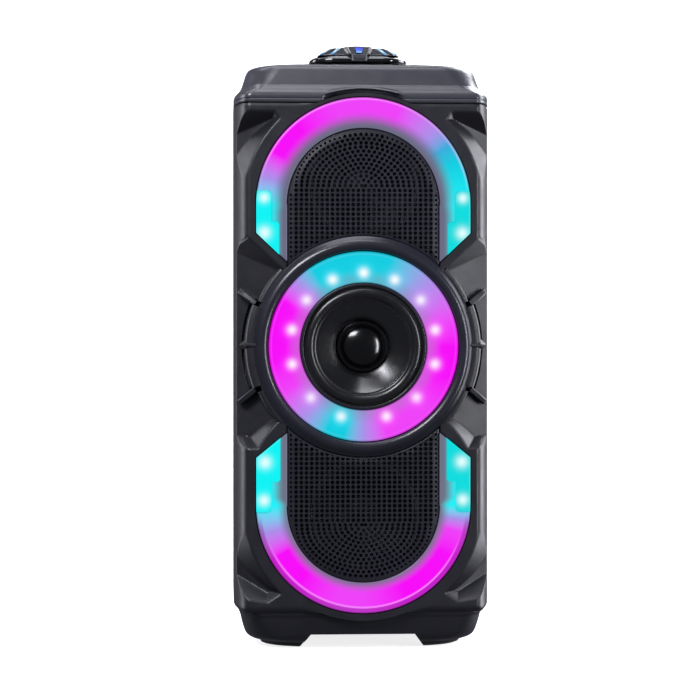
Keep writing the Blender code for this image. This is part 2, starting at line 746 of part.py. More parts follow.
def bass_port():
    shape = [
        (PORT_R - 4.0, -62.0), (PORT_R - 6.0, -62.0), (PORT_R - 6.0, -4.0), (PORT_R - 4.0, -0.4),
        (PORT_R - 1.6, 0.0), (PORT_R - 0.1, 0.0), (PORT_R - 0.1, -4.0), (PORT_R - 4.0, -5.0),
    ]
    obj = turned("bass_port", shape, "satin_black", (0, REAR, PORT_Z), 24)
    obj.matrix_world = Matrix.Translation((0, REAR * MM, PORT_Z * MM)) @ Matrix.Rotation(-math.pi / 2, 4, "X")


def grip_cup():
    low, high = GRIP_Z
    cup = part(
        "grip_cup",
        box("grip_cup", (-GRIP_X + GAP, REAR - 34, low + GAP), (GRIP_X - GAP, REAR - 0.4, high - GAP)),
        "rubber",
    )
    wall = 2.6
    cut(cup, box("grip_mouth", (-GRIP_X + wall, REAR - 31, low + wall), (GRIP_X - wall, REAR + 5, high - wall)))


def insides():
    battery = part("battery_pack", box("battery_pack", (-55, 12, 36.0), (55, 62, 92.0)), "battery")
    round_edges(battery, 4.0, 1)
    part("battery_tray", box("battery_tray", (-62, 8, 22.3), (62, 66, 35.7)), "satin_black")
    part("main_board", box("main_board", (-56, 74.0, 66.0), (56, 75.6, 150.0)), "board")


def main():
    front_shell()
    rear_shell()
    top_cap()
    base_plinth()
    foot_pads()
    window_lights()
    ring_lights()
    driver("centre", RING_Z, -REBATE_BACK + GAP + 2.2, CENTRE_FLANGE_R, "gloss_black", True)
    driver("upper_woofer", WOOFER_UP_Z, -BAFFLE_BACK - GAP, WOOFER_FLANGE_R, "satin_black", False)
    driver("lower_woofer", WOOFER_LOW_Z, -BAFFLE_BACK - GAP, WOOFER_FLANGE_R, "satin_black", False)
    console()
    indicator()
    light_strips()
    volume_knob()
    keys()
    rear_panel()
    sockets()
    power_rocker()
    bass_port()
    grip_cup()
    insides()


main()
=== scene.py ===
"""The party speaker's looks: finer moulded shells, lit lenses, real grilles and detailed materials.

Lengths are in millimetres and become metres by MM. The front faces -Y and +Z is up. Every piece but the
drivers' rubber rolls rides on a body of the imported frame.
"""

import math

import bmesh
import bpy
import numpy as np
from mathutils import Matrix, Vector, kdtree


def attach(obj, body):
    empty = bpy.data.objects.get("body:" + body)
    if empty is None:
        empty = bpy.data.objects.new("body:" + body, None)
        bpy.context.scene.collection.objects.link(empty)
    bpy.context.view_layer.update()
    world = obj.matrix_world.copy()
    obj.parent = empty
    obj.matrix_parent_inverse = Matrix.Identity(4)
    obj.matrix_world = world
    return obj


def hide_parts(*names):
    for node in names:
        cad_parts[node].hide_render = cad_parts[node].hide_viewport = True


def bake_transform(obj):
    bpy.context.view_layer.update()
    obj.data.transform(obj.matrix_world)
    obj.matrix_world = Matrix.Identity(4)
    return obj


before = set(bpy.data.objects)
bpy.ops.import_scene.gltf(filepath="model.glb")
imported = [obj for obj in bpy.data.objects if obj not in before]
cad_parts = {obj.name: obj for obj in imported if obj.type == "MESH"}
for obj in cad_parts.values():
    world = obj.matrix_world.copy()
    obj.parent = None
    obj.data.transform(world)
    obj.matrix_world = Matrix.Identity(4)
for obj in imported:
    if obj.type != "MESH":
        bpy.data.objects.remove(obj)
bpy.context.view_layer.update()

MM = 0.001

# Cabinet
HALF_W = 107.0
FRONT = -96.0
REAR = 101.0
SPLIT = -50.0
FRONT_CORNER = (14.0, 46.0)
REAR_CORNER = (30.0, 36.0)
LEDGE = 31.5
SEAM = 451.5
DECK = 486.0
GAP = 0.3

# Front layout
RING_Z = 251.0
UPPER_Z = 367.8
LOWER_Z = 119.5
FRAME_R = 98.6
FRAME_HALF = 96.6
BROW_R = 92.0
BUMP_R = 94.8
FLANGE_R = 93.2
LENS_R = 88.4
GRILLE_R = 63.0
LENS_FRONT = -97.3
BEZEL_R = 90.0
RING_OUT_R = 78.3
RING_IN_R = 52.4
LED_R = 60.6
POCKET_TOP = 445.0
POCKET_LOW = 40.0
# The channel outside the ring, from radius to radius and up to an angle, and the pits at its ends
CHANNEL_IN = (93.2, 94.0)
CHANNEL_OUT = (99.4, 100.4)
CHANNEL_END = (20.6, 21.4)
PIT_X = (86.0, 93.0)
PIT_Z = (32.0, 39.2)
GRID = 0.9

# Drivers
CONE_FRONT = -92.5
DRIVER_HOLE_R = 46.5
WOOFER_HOLE_R = 51.4
WOOFERS = {"upper": 384.0, "lower": 112.0}

# Rear
PANEL_X = 58.0
PANEL_Z = (70.0, 140.0)
PORT_Z = 330.0
PORT_R = 24.0
GRIP_X = 58.0
GRIP_Z = (392.0, 430.0)
RIBS = (168.0, 288.0)
RIB_PITCH = 9.0
SCREW_X = 69.0
SCREW_Z = (54.0, 156.0, 300.0, 438.0)

# Each window: its arc's centre, which way it faces, where its side ends, its inner tip, the heights of the
# frame's straight block beside it, and the slopes and the corner of the frame's slanting arm
UPPER = {
    "centre": UPPER_Z, "up": 1, "side": -23.4, "tip": (62.8, -47.6), "block": (342.0, 388.0),
    "arm": (0.674, -0.739, 341.0),
}
LOWER = {
    "centre": LOWER_Z, "up": -1, "side": -39.8, "tip": (62.8, -60.8), "block": (97.0, 166.5),
    "arm": (0.744, 0.668, 166.5),
}
ARM_X = 95.4

HAND = {-1: "left", 1: "right"}


# ---------------------------------------------------------------- numbers


def clamp(value, low=0.0, high=1.0):
    return np.minimum(np.maximum(value, low), high)


def smooth(value, low, high):
    """0 below low, 1 above high, and a smooth rise between."""
    t = clamp((value - low) / (high - low))
    return t * t * (3 - 2 * t)


def soft_min(a, b, width):
    near = np.maximum(width - np.abs(a - b), 0.0) / width
    return np.minimum(a, b) - near * near * width / 4


def soft_max(a, b, width):
    return -soft_min(-np.asarray(a, float), -np.asarray(b, float), width)


def bump(value, centre, width):
    """A smooth hill of height 1 about a centre."""
    return np.exp(-(((value - centre) / width) ** 2))


def band(value, low, high, edge):
    """1 between low and high, with soft edges inside them."""
    return smooth(value, low, low + edge) * (1 - smooth(value, high - edge, high))


def corner_distance(out_x, out_z):
    """Distance outside a rectangle, from how far a point is beyond its sides and its ends."""
    return np.hypot(np.maximum(out_x, 0), np.maximum(out_z, 0)) + np.minimum(np.maximum(out_x, out_z), 0)


def beyond(value, low, high):
    """How far a value is outside a span, below 0 inside it."""
    return np.abs(value - (low + high) / 2) - (high - low) / 2


def linear(code):
    """A colour code such as ff00ff as linear red, green and blue."""
    parts = [int(code[i : i + 2], 16) / 255 for i in (0, 2, 4)]
    return np.array([p / 12.92 if p <= 0.04045 else ((p + 0.055) / 1.055) ** 2.4 for p in parts])


def blend_colour(base, code, amount):
    """Mixes a colour into an array of colours by an array of amounts."""
    amount = np.asarray(amount, float)[:, None]
    return base * (1 - amount) + linear(code)[None, :] * amount


def colour_stops(values, stops):
    """Colours at the values, read off a list of (value, colour code)."""
    places = [place for place, _ in stops]
    codes = np.array([linear(code) for _, code in stops])
    return np.column_stack([np.interp(values, places, codes[:, k]) for k in range(3)])


# ---------------------------------------------------------------- meshes


def add_object(name, points, faces, material, colours=None, angle=35.0):
    """A smooth-shaded object from points in millimetres."""
    mesh = bpy.data.meshes.new(name)
    mesh.from_pydata((np.asarray(points, float) * MM).tolist(), [], [tuple(map(int, f)) for f in faces])
    mesh.polygons.foreach_set("use_smooth", [True] * len(mesh.polygons))
    mesh.set_sharp_from_angle(angle=math.radians(angle))
    if colours is not None:
        layer = mesh.color_attributes.new(name="glow", type="FLOAT_COLOR", domain="POINT")
        layer.data.foreach_set("color", np.column_stack([colours, np.ones(len(colours))]).ravel())
    mesh.materials.append(material)
    mesh.update()
    obj = bpy.data.objects.new(name, mesh)
    bpy.context.scene.collection.objects.link(obj)
    return obj


def lattice(columns, rows):
    """The triangles of a grid of points."""
    index = np.arange(columns * rows).reshape(rows, columns)
    a, b, c, d = index[:-1, :-1], index[:-1, 1:], index[1:, 1:], index[1:, :-1]
    return np.concatenate([np.stack([a, b, c], -1).reshape(-1, 3), np.stack([a, c, d], -1).reshape(-1, 3)])


def skin_faces(columns, rows, closed=True, back=False):
    """Faces between rows of points. closed joins a row's ends, and back the last row to the first."""
    faces = []
    for k in range(rows if back else rows - 1):
        here, there = k * columns, (k + 1) % rows * columns
        for i in range(columns if closed else columns - 1):
            j = (i + 1) % columns
            faces.append((here + i, here + j, there + j, there + i))
    return faces


def clip(points, triangles, field):
    """The part of a triangle mesh where the field is below 0."""
    field = np.where(np.abs(field) < 1e-4, -1e-4, field)
    inside = field < 0
    count = inside[triangles].sum(1)
    whole = triangles[count == 3]
    crossed, extra, made = {}, [], []

    def crossing(i, j):
        key = (min(i, j), max(i, j))
        if key not in crossed:
            share = field[i] / (field[i] - field[j])
            crossed[key] = len(points) + len(extra)
            extra.append(points[i] + (points[j] - points[i]) * share)
        return crossed[key]

    for triangle in triangles[(count == 1) | (count == 2)].tolist():
        ring = []
        for i, j in zip(triangle, triangle[1:] + triangle[:1]):
            if inside[i]:
                ring.append(i)
            if inside[i] != inside[j]:
                ring.append(crossing(i, j))
        made += [(ring[0], ring[k], ring[k + 1]) for k in range(1, len(ring) - 1)]
    if extra:
        points = np.vstack([points, extra])
        whole = np.vstack([whole, made])
    used, order = np.unique(whole, return_inverse=True)
    return points[used], order.reshape(-1, 3)


def border_edges(triangles):
    """Edges that only one triangle has, in the order of that triangle."""
    edges = np.concatenate([triangles[:, [0, 1]], triangles[:, [1, 2]], triangles[:, [2, 0]]])
    key = np.sort(edges, 1)
    _, first, count = np.unique(key, axis=0, return_index=True, return_counts=True)
    return edges[first[count == 1]]


def add_rim(points, triangles, shift, choose=None):
    """Walls from the open edges along a shift. choose says which points' edges get one."""
    edges = border_edges(triangles)
    if choose is not None:
        edges = edges[choose(points[edges[:, 0]]) & choose(points[edges[:, 1]])]
    used = np.unique(edges)
    order = {int(v): len(points) + k for k, v in enumerate(used)}
    walls = []
    for i, j in edges.tolist():
        walls += [(j, i, order[i]), (j, order[i], order[j])]
    return np.vstack([points, points[used] + np.asarray(shift)]), np.vstack([triangles, walls])


def arc(centre, reach, turns):
    """Points along an ellipse, at the given turns in degrees."""
    turns = np.radians(turns)
    return list(zip(centre[0] + reach[0] * np.cos(turns), centre[1] + reach[1] * np.sin(turns)))


def circle(centre, radius, steps=72):
    return arc(centre, (radius, radius), np.linspace(0, 360, steps, endpoint=False))


def surface_of_turn(name, profile, at, material, steps=160, forward=True, colours=None):
    """A turned piece. The profile is (radius, height), and height runs to -Y, or up."""
    profile = np.array(profile, float)
    turns = np.linspace(0, 2 * math.pi, steps, endpoint=False)
    radius, height = profile[:, 0][:, None], profile[:, 1][:, None]
    a, b = radius * np.cos(turns), radius * np.sin(turns)
    along = height + 0 * turns
    spots = (a + at[0], at[1] - along, b + at[2]) if forward else (a + at[0], b + at[1], along + at[2])
    points = np.stack(spots, -1).reshape(-1, 3)
    faces = skin_faces(steps, len(profile), back=True)
    obj = add_object(name, points, faces, material, None if colours is None else colours(points))
    weld(obj)
    return obj


def weld(obj, distance=0.002):
    """Joins points that touch, drops faces without area, and turns every face outwards."""
    bm = bmesh.new()
    bm.from_mesh(obj.data)
    bmesh.ops.remove_doubles(bm, verts=bm.verts, dist=distance * MM)
    bmesh.ops.recalc_face_normals(bm, faces=bm.faces)
    bm.to_mesh(obj.data)
    bm.free()
    obj.data.update()


def rounded_profile(points, radius, steps=4):
    """A closed profile with every corner rounded by an arc-like curve."""
    result = []
    count = len(points)
    for i in range(count):
        before, here, after = (Vector(points[(i + k) % count]) for k in (-1, 0, 1))
        reach = min(radius, (before - here).length / 2, (after - here).length / 2)
        start = here + (before - here).normalized() * reach
        end = here + (after - here).normalized() * reach
        for k in range(steps + 1):
            t = k / steps
            result.append(tuple(start * (1 - t) ** 2 + here * 2 * t * (1 - t) + end * t * t))
    return result


def loft(name, sections, material, cap=True, angle=30.0, closed=True, glow=None):
    """A skin through rings, or open rows, with the same number of points. glow gives a point's colour."""
    count, rows = len(sections[0]), len(sections)
    points = np.array(sections, float).reshape(-1, 3)
    faces = skin_faces(count, rows, closed)
    if cap:
        faces += [tuple(range(count)), tuple(range((rows - 1) * count, rows * count))]
    obj = add_object(name, points, faces, material, None if glow is None else glow(points), angle)
    weld(obj)
    return obj


def bevelled(obj, width):
    """Rounds a piece's edges by a modifier."""
    modifier = obj.modifiers.new("edges", "BEVEL")
    modifier.width = width * MM
    modifier.segments = 3
    modifier.limit_method = "ANGLE"
    modifier.angle_limit = math.radians(30)
    modifier.harden_normals = True
    return obj


def place(obj, body, slot, *nodes):
    """Puts a piece on a body and lets it stand for CAD nodes, which it hides. The slot is not used."""
    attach(obj, body)
    if nodes:
        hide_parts(*nodes)
    return obj


# ---------------------------------------------------------------- materials


class Nodes:
    """A material being built: its nodes, links and main shader."""

    def __init__(self, name):
        self.material = bpy.data.materials.new(name)
        self.material.use_nodes = True
        self.tree = self.material.node_tree
        self.shader = self.tree.nodes["Principled BSDF"]
        self.place = self.add("ShaderNodeTexCoord").outputs["Object"]

    def add(self, kind, **settings):
        node = self.tree.nodes.new(kind)
        for key, value in settings.items():
            setattr(node, key, value)
        return node

    def link(self, source, target):
        self.tree.links.new(source, target)

    def noise(self, scale, detail=4.0, rough=0.55, stretch=None):
        node = self.add("ShaderNodeTexNoise")
        for key, value in zip(("Scale", "Detail", "Roughness"), (scale, detail, rough)):
            node.inputs[key].default_value = value
        source = self.place
        if stretch:
            mapping = self.add("ShaderNodeMapping")
            mapping.inputs["Scale"].default_value = stretch
            self.link(source, mapping.inputs["Vector"])
            source = mapping.outputs["Vector"]
        self.link(source, node.inputs["Vector"])
        return node.outputs["Fac"]

    def ramp(self, source, low, high):
        """A colour ramp between two linear colours."""
        node = self.add("ShaderNodeValToRGB")
        first, last = node.color_ramp.elements
        first.position, last.position = 0.3, 0.7
        first.color, last.color = (*low, 1.0), (*high, 1.0)
        self.link(source, node.inputs["Fac"])
        return node.outputs["Color"]

    def spread(self, source, low, high, start=0.3, end=0.7):
        """The source stretched to a range of numbers."""
        node = self.add("ShaderNodeMapRange")
        for key, value in zip(("From Min", "From Max", "To Min", "To Max"), (start, end, low, high)):
            node.inputs[key].default_value = value
        self.link(source, node.inputs["Value"])
        return node.outputs["Result"]

    def bump(self, source, distance, strength=1.0):
        node = self.add("ShaderNodeBump")
        node.inputs["Distance"].default_value = distance * MM
        node.inputs["Strength"].default_value = strength
        self.link(source, node.inputs["Height"])
        return node.outputs["Normal"]

    def dress(self, patterns, colours, roughness, relief, settings):
        """Colour, roughness and relief from three patterns, and the shader's plain settings."""
        tone, wear, grain = patterns
        self.link(self.ramp(tone, *map(linear, colours)), self.shader.inputs["Base Color"])
        self.link(self.spread(wear, *roughness), self.shader.inputs["Roughness"])
        self.link(self.bump(grain, *relief), self.shader.inputs["Normal"])
        for key, value in settings.items():
            self.shader.inputs[key].default_value = value
        return self.material


def moulded(name, dark, light, roughness=(0.36, 0.48), grain=0.03, scale=1500.0, coat=0.0, specular=0.42):
    """Moulded plastic: fine spark-eroded grain, faint flow marks, and a little wear in its gloss."""
    n = Nodes(name)
    patterns = n.noise(9.0, 5.0), n.noise(70.0, 6.0, 0.65), n.noise(scale, 2.0)
    settings = {"Coat Weight": coat, "Coat Roughness": 0.12, "Specular IOR Level": specular}
    return n.dress(patterns, (dark, light), roughness, (grain, 0.55), settings)


def glossy(name, dark, light, roughness=(0.06, 0.14), coat=0.6, specular=0.5):
    """Polished plastic with faint haze and swirl marks."""
    n = Nodes(name)
    patterns = n.noise(35.0, 6.0, 0.6), n.noise(160.0, 5.0), n.noise(420.0, 3.0)
    settings = {"Coat Weight": coat, "Coat Roughness": 0.05, "Specular IOR Level": specular}
    return n.dress(patterns, (dark, light), roughness, (0.004, 0.4), settings)


def rubber(name, dark, light, grain=0.05, scale=900.0, roughness=(0.5, 0.72)):
    """Matt rubber with a fine pebbled skin and dust-paler patches."""
    n = Nodes(name)
    patterns = n.noise(22.0, 6.0), n.noise(120.0, 4.0), n.noise(scale, 3.0)
    return n.dress(patterns, (dark, light), roughness, (grain, 0.6), {"Sheen Weight": 0.08})


def metal(name, dark, light, roughness=(0.22, 0.42)):
    """Plated or stamped metal with fine drawn marks."""
    n = Nodes(name)
    marks = n.noise(600.0, 4.0, 0.6, (1.0, 1.0, 14.0))
    patterns = n.noise(40.0, 6.0), marks, marks
    return n.dress(patterns, (dark, light), roughness, (0.01, 0.3), {"Metallic": 1.0})


def circuit(name):
    """Green circuit board: a woven glass base under solder mask, with copper lanes showing."""
    n = Nodes(name)
    lanes = n.add("ShaderNodeTexBrick")
    lanes.inputs["Scale"].default_value = 140.0
    lanes.inputs["Mortar Size"].default_value = 0.03
    for key, code in (("Color1", "0f3a20"), ("Color2", "124a28"), ("Mortar", "2f6a35")):
        lanes.inputs[key].default_value = (*linear(code), 1.0)
    n.link(n.place, lanes.inputs["Vector"])
    n.link(lanes.outputs["Color"], n.shader.inputs["Base Color"])
    n.link(n.spread(n.noise(90.0), 0.3, 0.45), n.shader.inputs["Roughness"])
    n.link(n.bump(lanes.outputs["Fac"], 0.03, 0.5), n.shader.inputs["Normal"])
    return n.material


def woven(name, colour, light):
    """Impregnated cloth of the driver's spider."""
    n = Nodes(name)
    weave = n.add("ShaderNodeTexWave")
    weave.inputs["Scale"].default_value = 900.0
    weave.inputs["Distortion"].default_value = 2.0
    n.link(n.place, weave.inputs["Vector"])
    n.link(n.ramp(n.noise(60.0), linear(colour), linear(light)), n.shader.inputs["Base Color"])
    n.link(n.spread(weave.outputs["Fac"], 0.75, 0.92, 0.0, 1.0), n.shader.inputs["Roughness"])
    n.link(n.bump(weave.outputs["Fac"], 0.06), n.shader.inputs["Normal"])
    return n.material


def lit(name, roughness=(0.2, 0.3), body="0a090c"):
    """A milky lens lit from behind. Its glow comes from the mesh's own colours."""
    n = Nodes(name)
    glow = n.add("ShaderNodeAttribute", attribute_name="glow")
    n.link(glow.outputs["Color"], n.shader.inputs["Emission Color"])
    patterns = n.noise(30.0), n.noise(90.0), n.noise(700.0, 2.0)
    settings = {"Emission Strength": 1.0, "Specular IOR Level": 0.1}
    return n.dress(patterns, (body, "100e12"), roughness, (0.01, 0.4), settings)


SHELL = moulded("shell_plastic", "151519", "1d1d23")
# The cap's copy of the shell plastic, painted lighter: painted light from the soft boxes above the front
SHELL_PAINTED_LIT = moulded("cap_plastic", "27272e", "313139", (0.3, 0.38), 0.02, specular=0.62)
GRILLE = moulded("grille_plastic", "18181f", "22222b", (0.3, 0.4), 0.01, 1800.0, specular=0.45)
PLASTIC_DARK = moulded("inner_plastic", "101013", "19191d", (0.45, 0.6), 0.05, 900.0)
TRIM = moulded("trim_plastic", "17171e", "20202a", (0.26, 0.34), 0.006, 2000.0, 0.1)
GLOSS = glossy("gloss_black", "050506", "0b0b0e")
CONE = glossy("cone_plastic", "010102", "030304", (0.2, 0.26), 0.0, 0.9)
CAP_GLOSS = glossy("dust_cap_plastic", "010102", "020203", (0.16, 0.22), 0.0, 0.5)
ROLL = rubber("roll_rubber", "08080a", "0e0e11", 0.01, 1500.0, (0.26, 0.36))
BRIGHT_LINE = metal("bright_line", "5c5c64", "7c7c86", (0.2, 0.3))
RUBBER = rubber("foot_rubber", "0c0c0d", "161617")
KEYS = rubber("key_rubber", "101012", "1a1a1d")
STEEL = metal("steel", "8a8a8e", "a9a9ae")
DARK_STEEL = metal("black_steel", "1c1c1f", "2b2b2f", (0.3, 0.45))
PAINTED_STEEL = moulded("painted_steel", "0a0a0c", "101013", (0.5, 0.62), 0.03, 700.0, specular=0.3)
COPPER = metal("copper_wire", "8a4b26", "b5673a")
BOARD = circuit("circuit_board")
CLOTH = woven("spider_cloth", "5b3a17", "7d5526")
BATTERY = moulded("battery_sleeve", "14244a", "1c3160", (0.25, 0.4), 0.02, 700.0)
LENS = lit("window_glow")
RING_GLOW = lit("ring_glow")
BLUE_GLOW = lit("blue_glow", (0.1, 0.2), "04080c")
PANEL = moulded("panel_plastic", "0a0a0d", "101014", (0.42, 0.52), 0.01, specular=0.16)


# ---------------------------------------------------------------- the front's shapes as fields


def ring_sides(window, x, z):
    """Above 0 inside the ring's bezel, and above 0 on the far side of the ring's centre."""
    return BEZEL_R + 1.4 - np.hypot(x, z - RING_Z), window["up"] * (RING_Z - z)


def window_field(window, x, z, grow=0.0):
    """Below 0 inside a window: an arc, straight sides, slanted ends, and the ring bezel's arc."""
    across = np.abs(x)
    local = window["up"] * (z - window["centre"])
    tip_x, tip_z = window["tip"]
    reach = np.where(local > 0, np.hypot(across, local), across) - LENS_R
    run, rise = tip_x - LENS_R, tip_z - window["side"]
    length = math.hypot(run, rise)
    slant = (-rise * (across - LENS_R) + run * (local - window["side"])) / length
    ends = np.minimum(slant, across - tip_x)
    return np.maximum.reduce([reach, ends, *ring_sides(window, x, z)]) - grow


def grille_field(window, x, z, grow=0.0):
    """Below 0 inside a window's grille."""
    across = np.abs(x)
    local = window["up"] * (z - window["centre"])
    reach = np.where(local > 0, np.hypot(across, local), across + 0.4) - GRILLE_R
    return np.maximum.reduce([reach, *ring_sides(window, x, z)]) - grow


def arm_fall(window, x, z):
    """The fall beside one half of the frame: round its arc, along its block and off its slanting arm."""
    across = np.abs(x)
    outside_arc = np.hypot(x, z - window["centre"]) - FRAME_R
    outside_block = corner_distance(across - FRAME_HALF, beyond(z, *window["block"]))
    slope_x, slope_z, corner = window["arm"]
    off_arm = slope_x * (across - ARM_X) + slope_z * (z - corner)
    return np.maximum(np.minimum(1.4 * outside_arc, 1.6 * outside_block), 1.35 * off_arm)


def frame_fall(x, z):
    """How far the recessed surface falls back beside the raised frame and the ring's flange."""
    ring = 4.0 * (np.hypot(x, z - RING_Z) - FLANGE_R + 2.2)
    return np.minimum(np.minimum(arm_fall(UPPER, x, z), arm_fall(LOWER, x, z)), ring)


def strut(side, up):
    """A slanting bar from the ring's flange to the cabinet's corner."""
    start, end = Vector((89.0, 0, 35.4)), Vector((102.4, 0, 46.4))
    along = (end - start).normalized()
    across = Vector((-along.z, 0, along.x))
    rings = []
    for share, front in ((0.0, -92.6), (0.5, -90.4), (0.9, -86.8), (1.0, -84.6)):
        half = [(2.3, -74.0), (2.3, front + 0.8), (1.5, front)]
        section = [*half, *((-a, y) for a, y in reversed(half))]
        corners = [(start.lerp(end, share) + across * a, y) for a, y in section]
        rings.append([(side * corner.x, y, RING_Z + up * corner.z) for corner, y in corners])
    name = f"side_strut_{'upper' if up > 0 else 'lower'}_{HAND[side]}"
    return bevelled(loft(name, rings, SHELL, angle=25), 0.35)


def skin_depth(x, z, base):
    """Y of the front skin: the frame's plane, its recesses, the struts' pits and the rounded corners."""
    across = np.abs(x)
    height = np.abs(z - RING_Z)
    fall = soft_min(frame_fall(x, z), 4.0 + (across - 70.0) * 0.45, 0.5)
    ceiling = 1.1 * (POCKET_TOP - z)
    ledge = 1.1 * (z - POCKET_LOW - 0.15 * (across - 78.9))
    top_corner = 1.3 * (0.83 * (across - 69.0) - 0.557 * (z - 438.8))
    low_corner = 1.2 * (0.551 * (across - 68.0) + 0.834 * (z - 47.0))
    for limit in (ceiling, ledge, np.where(z > RING_Z, top_corner, low_corner)):
        fall = soft_min(fall, limit, 0.35)
    radius = np.hypot(x, z - RING_Z)
    angle = np.degrees(np.arcsin(clamp(height / np.maximum(radius, 1.0))))
    channel = smooth(radius, *CHANNEL_IN) * (1 - smooth(radius, *CHANNEL_OUT))
    channel *= 1 - smooth(angle, *CHANNEL_END)
    pits = band(across, *PIT_X, 0.6) * band(height, *PIT_Z, 0.6) * (radius > FLANGE_R - 2)
    recess = FRONT + fall + np.maximum(3.4 * channel, 8.0 * pits) * (across > 60)
    return soft_max(base, np.where(across < 60, FRONT - 4, recess), 1.1)


# ---------------------------------------------------------------- plan outlines


def corner_curve(corner, steps):
    """A quarter of an ellipse from (0, 0), first sideways and then back."""
    turns = np.linspace(0, math.pi / 2, steps + 1)
    return corner[0] * np.sin(turns), corner[1] * (1 - np.cos(turns))


def front_columns(step):
    """X and Y along the front, from the left split round to the right one."""
    flat_half = HALF_W - FRONT_CORNER[0]
    inner = np.linspace(0, flat_half, int(flat_half / step) + 1)
    out_x, out_y = corner_curve(FRONT_CORNER, 56)
    x = np.concatenate([inner, flat_half + out_x[1:]])
    y = np.concatenate([inner * 0, out_y[1:]]) + FRONT
    return np.concatenate([-x[:0:-1], x]), np.concatenate([y[:0:-1], y])


def around(inset, corner, steps=28, straight=30):
    """The whole cabinet outline in X and Y, inset, starting at the middle of the front."""
    fx, fy = corner
    rx, ry = REAR_CORNER
    half, near, far = HALF_W - inset, FRONT + inset, REAR - inset
    x, y = corner_curve((fx, fy), steps)
    rear_x, rear_y = corner_curve((rx, ry), steps)
    parts_x = [np.linspace(0, half - fx, straight * 3, endpoint=False), half - fx + x]
    parts_y = [np.full(straight * 3, near), near + y]
    side = np.linspace(near + fy, far - ry, straight, endpoint=False)[1:]
    parts_x += [np.full(len(side), half), half - rx + rear_x[::-1]]
    parts_y += [side, far - rear_y[::-1]]
    back = np.linspace(half - rx, 0, straight * 2)[1:]
    parts_x.append(back)
    parts_y.append(np.full(len(back), far))
    px, py = np.concatenate(parts_x), np.concatenate(parts_y)
    return np.concatenate([px, -px[-2:0:-1]]), np.concatenate([py, py[-2:0:-1]])


# ---------------------------------------------------------------- cabinet


def low_lip(z):
    """How far the cabinet's lower edge turns in, by height."""
    return np.interp(z, (LEDGE, 33.2, 34.6, 36.5), (3.4, 1.5, 0.5, 0.0))


def front_shell():
    """The moulded front: frame, pockets, side fields, struts and window openings in one skin."""
    base_x, base_y = front_columns(GRID)
    top, low = UPPER_Z + BROW_R + 1, LOWER_Z - BUMP_R - 1
    heights = np.linspace(low, top, int((top - low) / GRID) + 1)
    x, z = (v.ravel() for v in np.meshgrid(base_x, heights))
    base = np.tile(base_y, len(heights))
    y = skin_depth(x, z, base)
    brow = np.maximum(BROW_R - np.hypot(x, z - UPPER_Z), BUMP_R - np.hypot(x, z - LOWER_Z))
    lip = 0.9 * smooth(z, SEAM - 2.2, SEAM - 0.2) + low_lip(z)
    tuck = lip * (1 - smooth(brow, -7.0, -0.3))
    y += tuck * clamp((SPLIT - base) / FRONT_CORNER[1])
    x -= np.sign(x) * tuck * smooth(np.abs(x), HALF_W - 10, HALF_W)
    triangles = lattice(len(base_x), len(heights))
    points = np.column_stack([x, y, z])
    top_field = np.minimum(z - (SEAM - GAP), np.hypot(x, z - UPPER_Z) - BROW_R)
    low_field = np.minimum(LEDGE - z, np.hypot(x, z - LOWER_Z) - BUMP_R)
    windows = -np.minimum(window_field(UPPER, x, z, 0.9), window_field(LOWER, x, z, 0.9))
    ring = RING_OUT_R + 0.8 - np.hypot(x, z - RING_Z)
    points, triangles = clip(points, triangles, np.maximum.reduce([top_field, low_field, windows, ring]))
    points, triangles = add_rim(points, triangles, (0, 9.0, 0), lambda p: p[:, 1] < SPLIT - 2)
    obj = add_object("front_shell_skin", points, triangles, SHELL, angle=40)
    place(obj, "cabinet", "satin_black", "front_shell")
    for side in (-1, 1):
        for up in (-1, 1):
            place(strut(side, up), "cabinet", "satin_black", "front_shell")


def plate_piece(name, outlines, start, end, material):
    """A flat upright plate: closed outlines in X and Z, filled and run from start to end along Y."""
    curve = bpy.data.curves.new(name, "CURVE")
    curve.dimensions = "2D"
    curve.fill_mode = "BOTH"
    curve.extrude = (end - start) / 2 * MM
    for outline in outlines:
        spline = curve.splines.new("POLY")
        spline.points.add(len(outline) - 1)
        for point, (a, b) in zip(spline.points, outline):
            point.co = (a * MM, b * MM, 0.0, 1.0)
        spline.use_cyclic_u = True
    holder = bpy.data.objects.new(name + "_outline", curve)
    bpy.context.scene.collection.objects.link(holder)
    bpy.context.view_layer.update()
    mesh = bpy.data.meshes.new_from_object(holder.evaluated_get(bpy.context.evaluated_depsgraph_get()))
    bpy.data.objects.remove(holder, do_unlink=True)
    mesh.transform(Matrix.Translation((0, (start + end) / 2 * MM, 0)) @ Matrix.Rotation(math.pi / 2, 4, "X"))
    mesh.name = name
    mesh.materials.clear()
    mesh.materials.append(material)
    obj = bpy.data.objects.new(name, mesh)
    bpy.context.scene.collection.objects.link(obj)
    weld(obj)
    return obj


def baffle():
    """The flat board behind the skin that carries the drivers."""
    half, cut = 72.0, 8.0
    low, high = POCKET_LOW, POCKET_TOP
    outline = [(-half, low + cut), (-half + cut, low), (half - cut, low), (half, low + cut)]
    outline += [(half, high - cut), (half - cut, high), (-half + cut, high), (-half, high - cut)]
    holes = [circle((0, RING_Z), DRIVER_HOLE_R), *(circle((0, z), WOOFER_HOLE_R) for z in WOOFERS.values())]
    obj = plate_piece("driver_baffle", [outline, *holes], -90.0, -87.2, PLASTIC_DARK)
    place(obj, "cabinet", "satin_black", "front_shell")


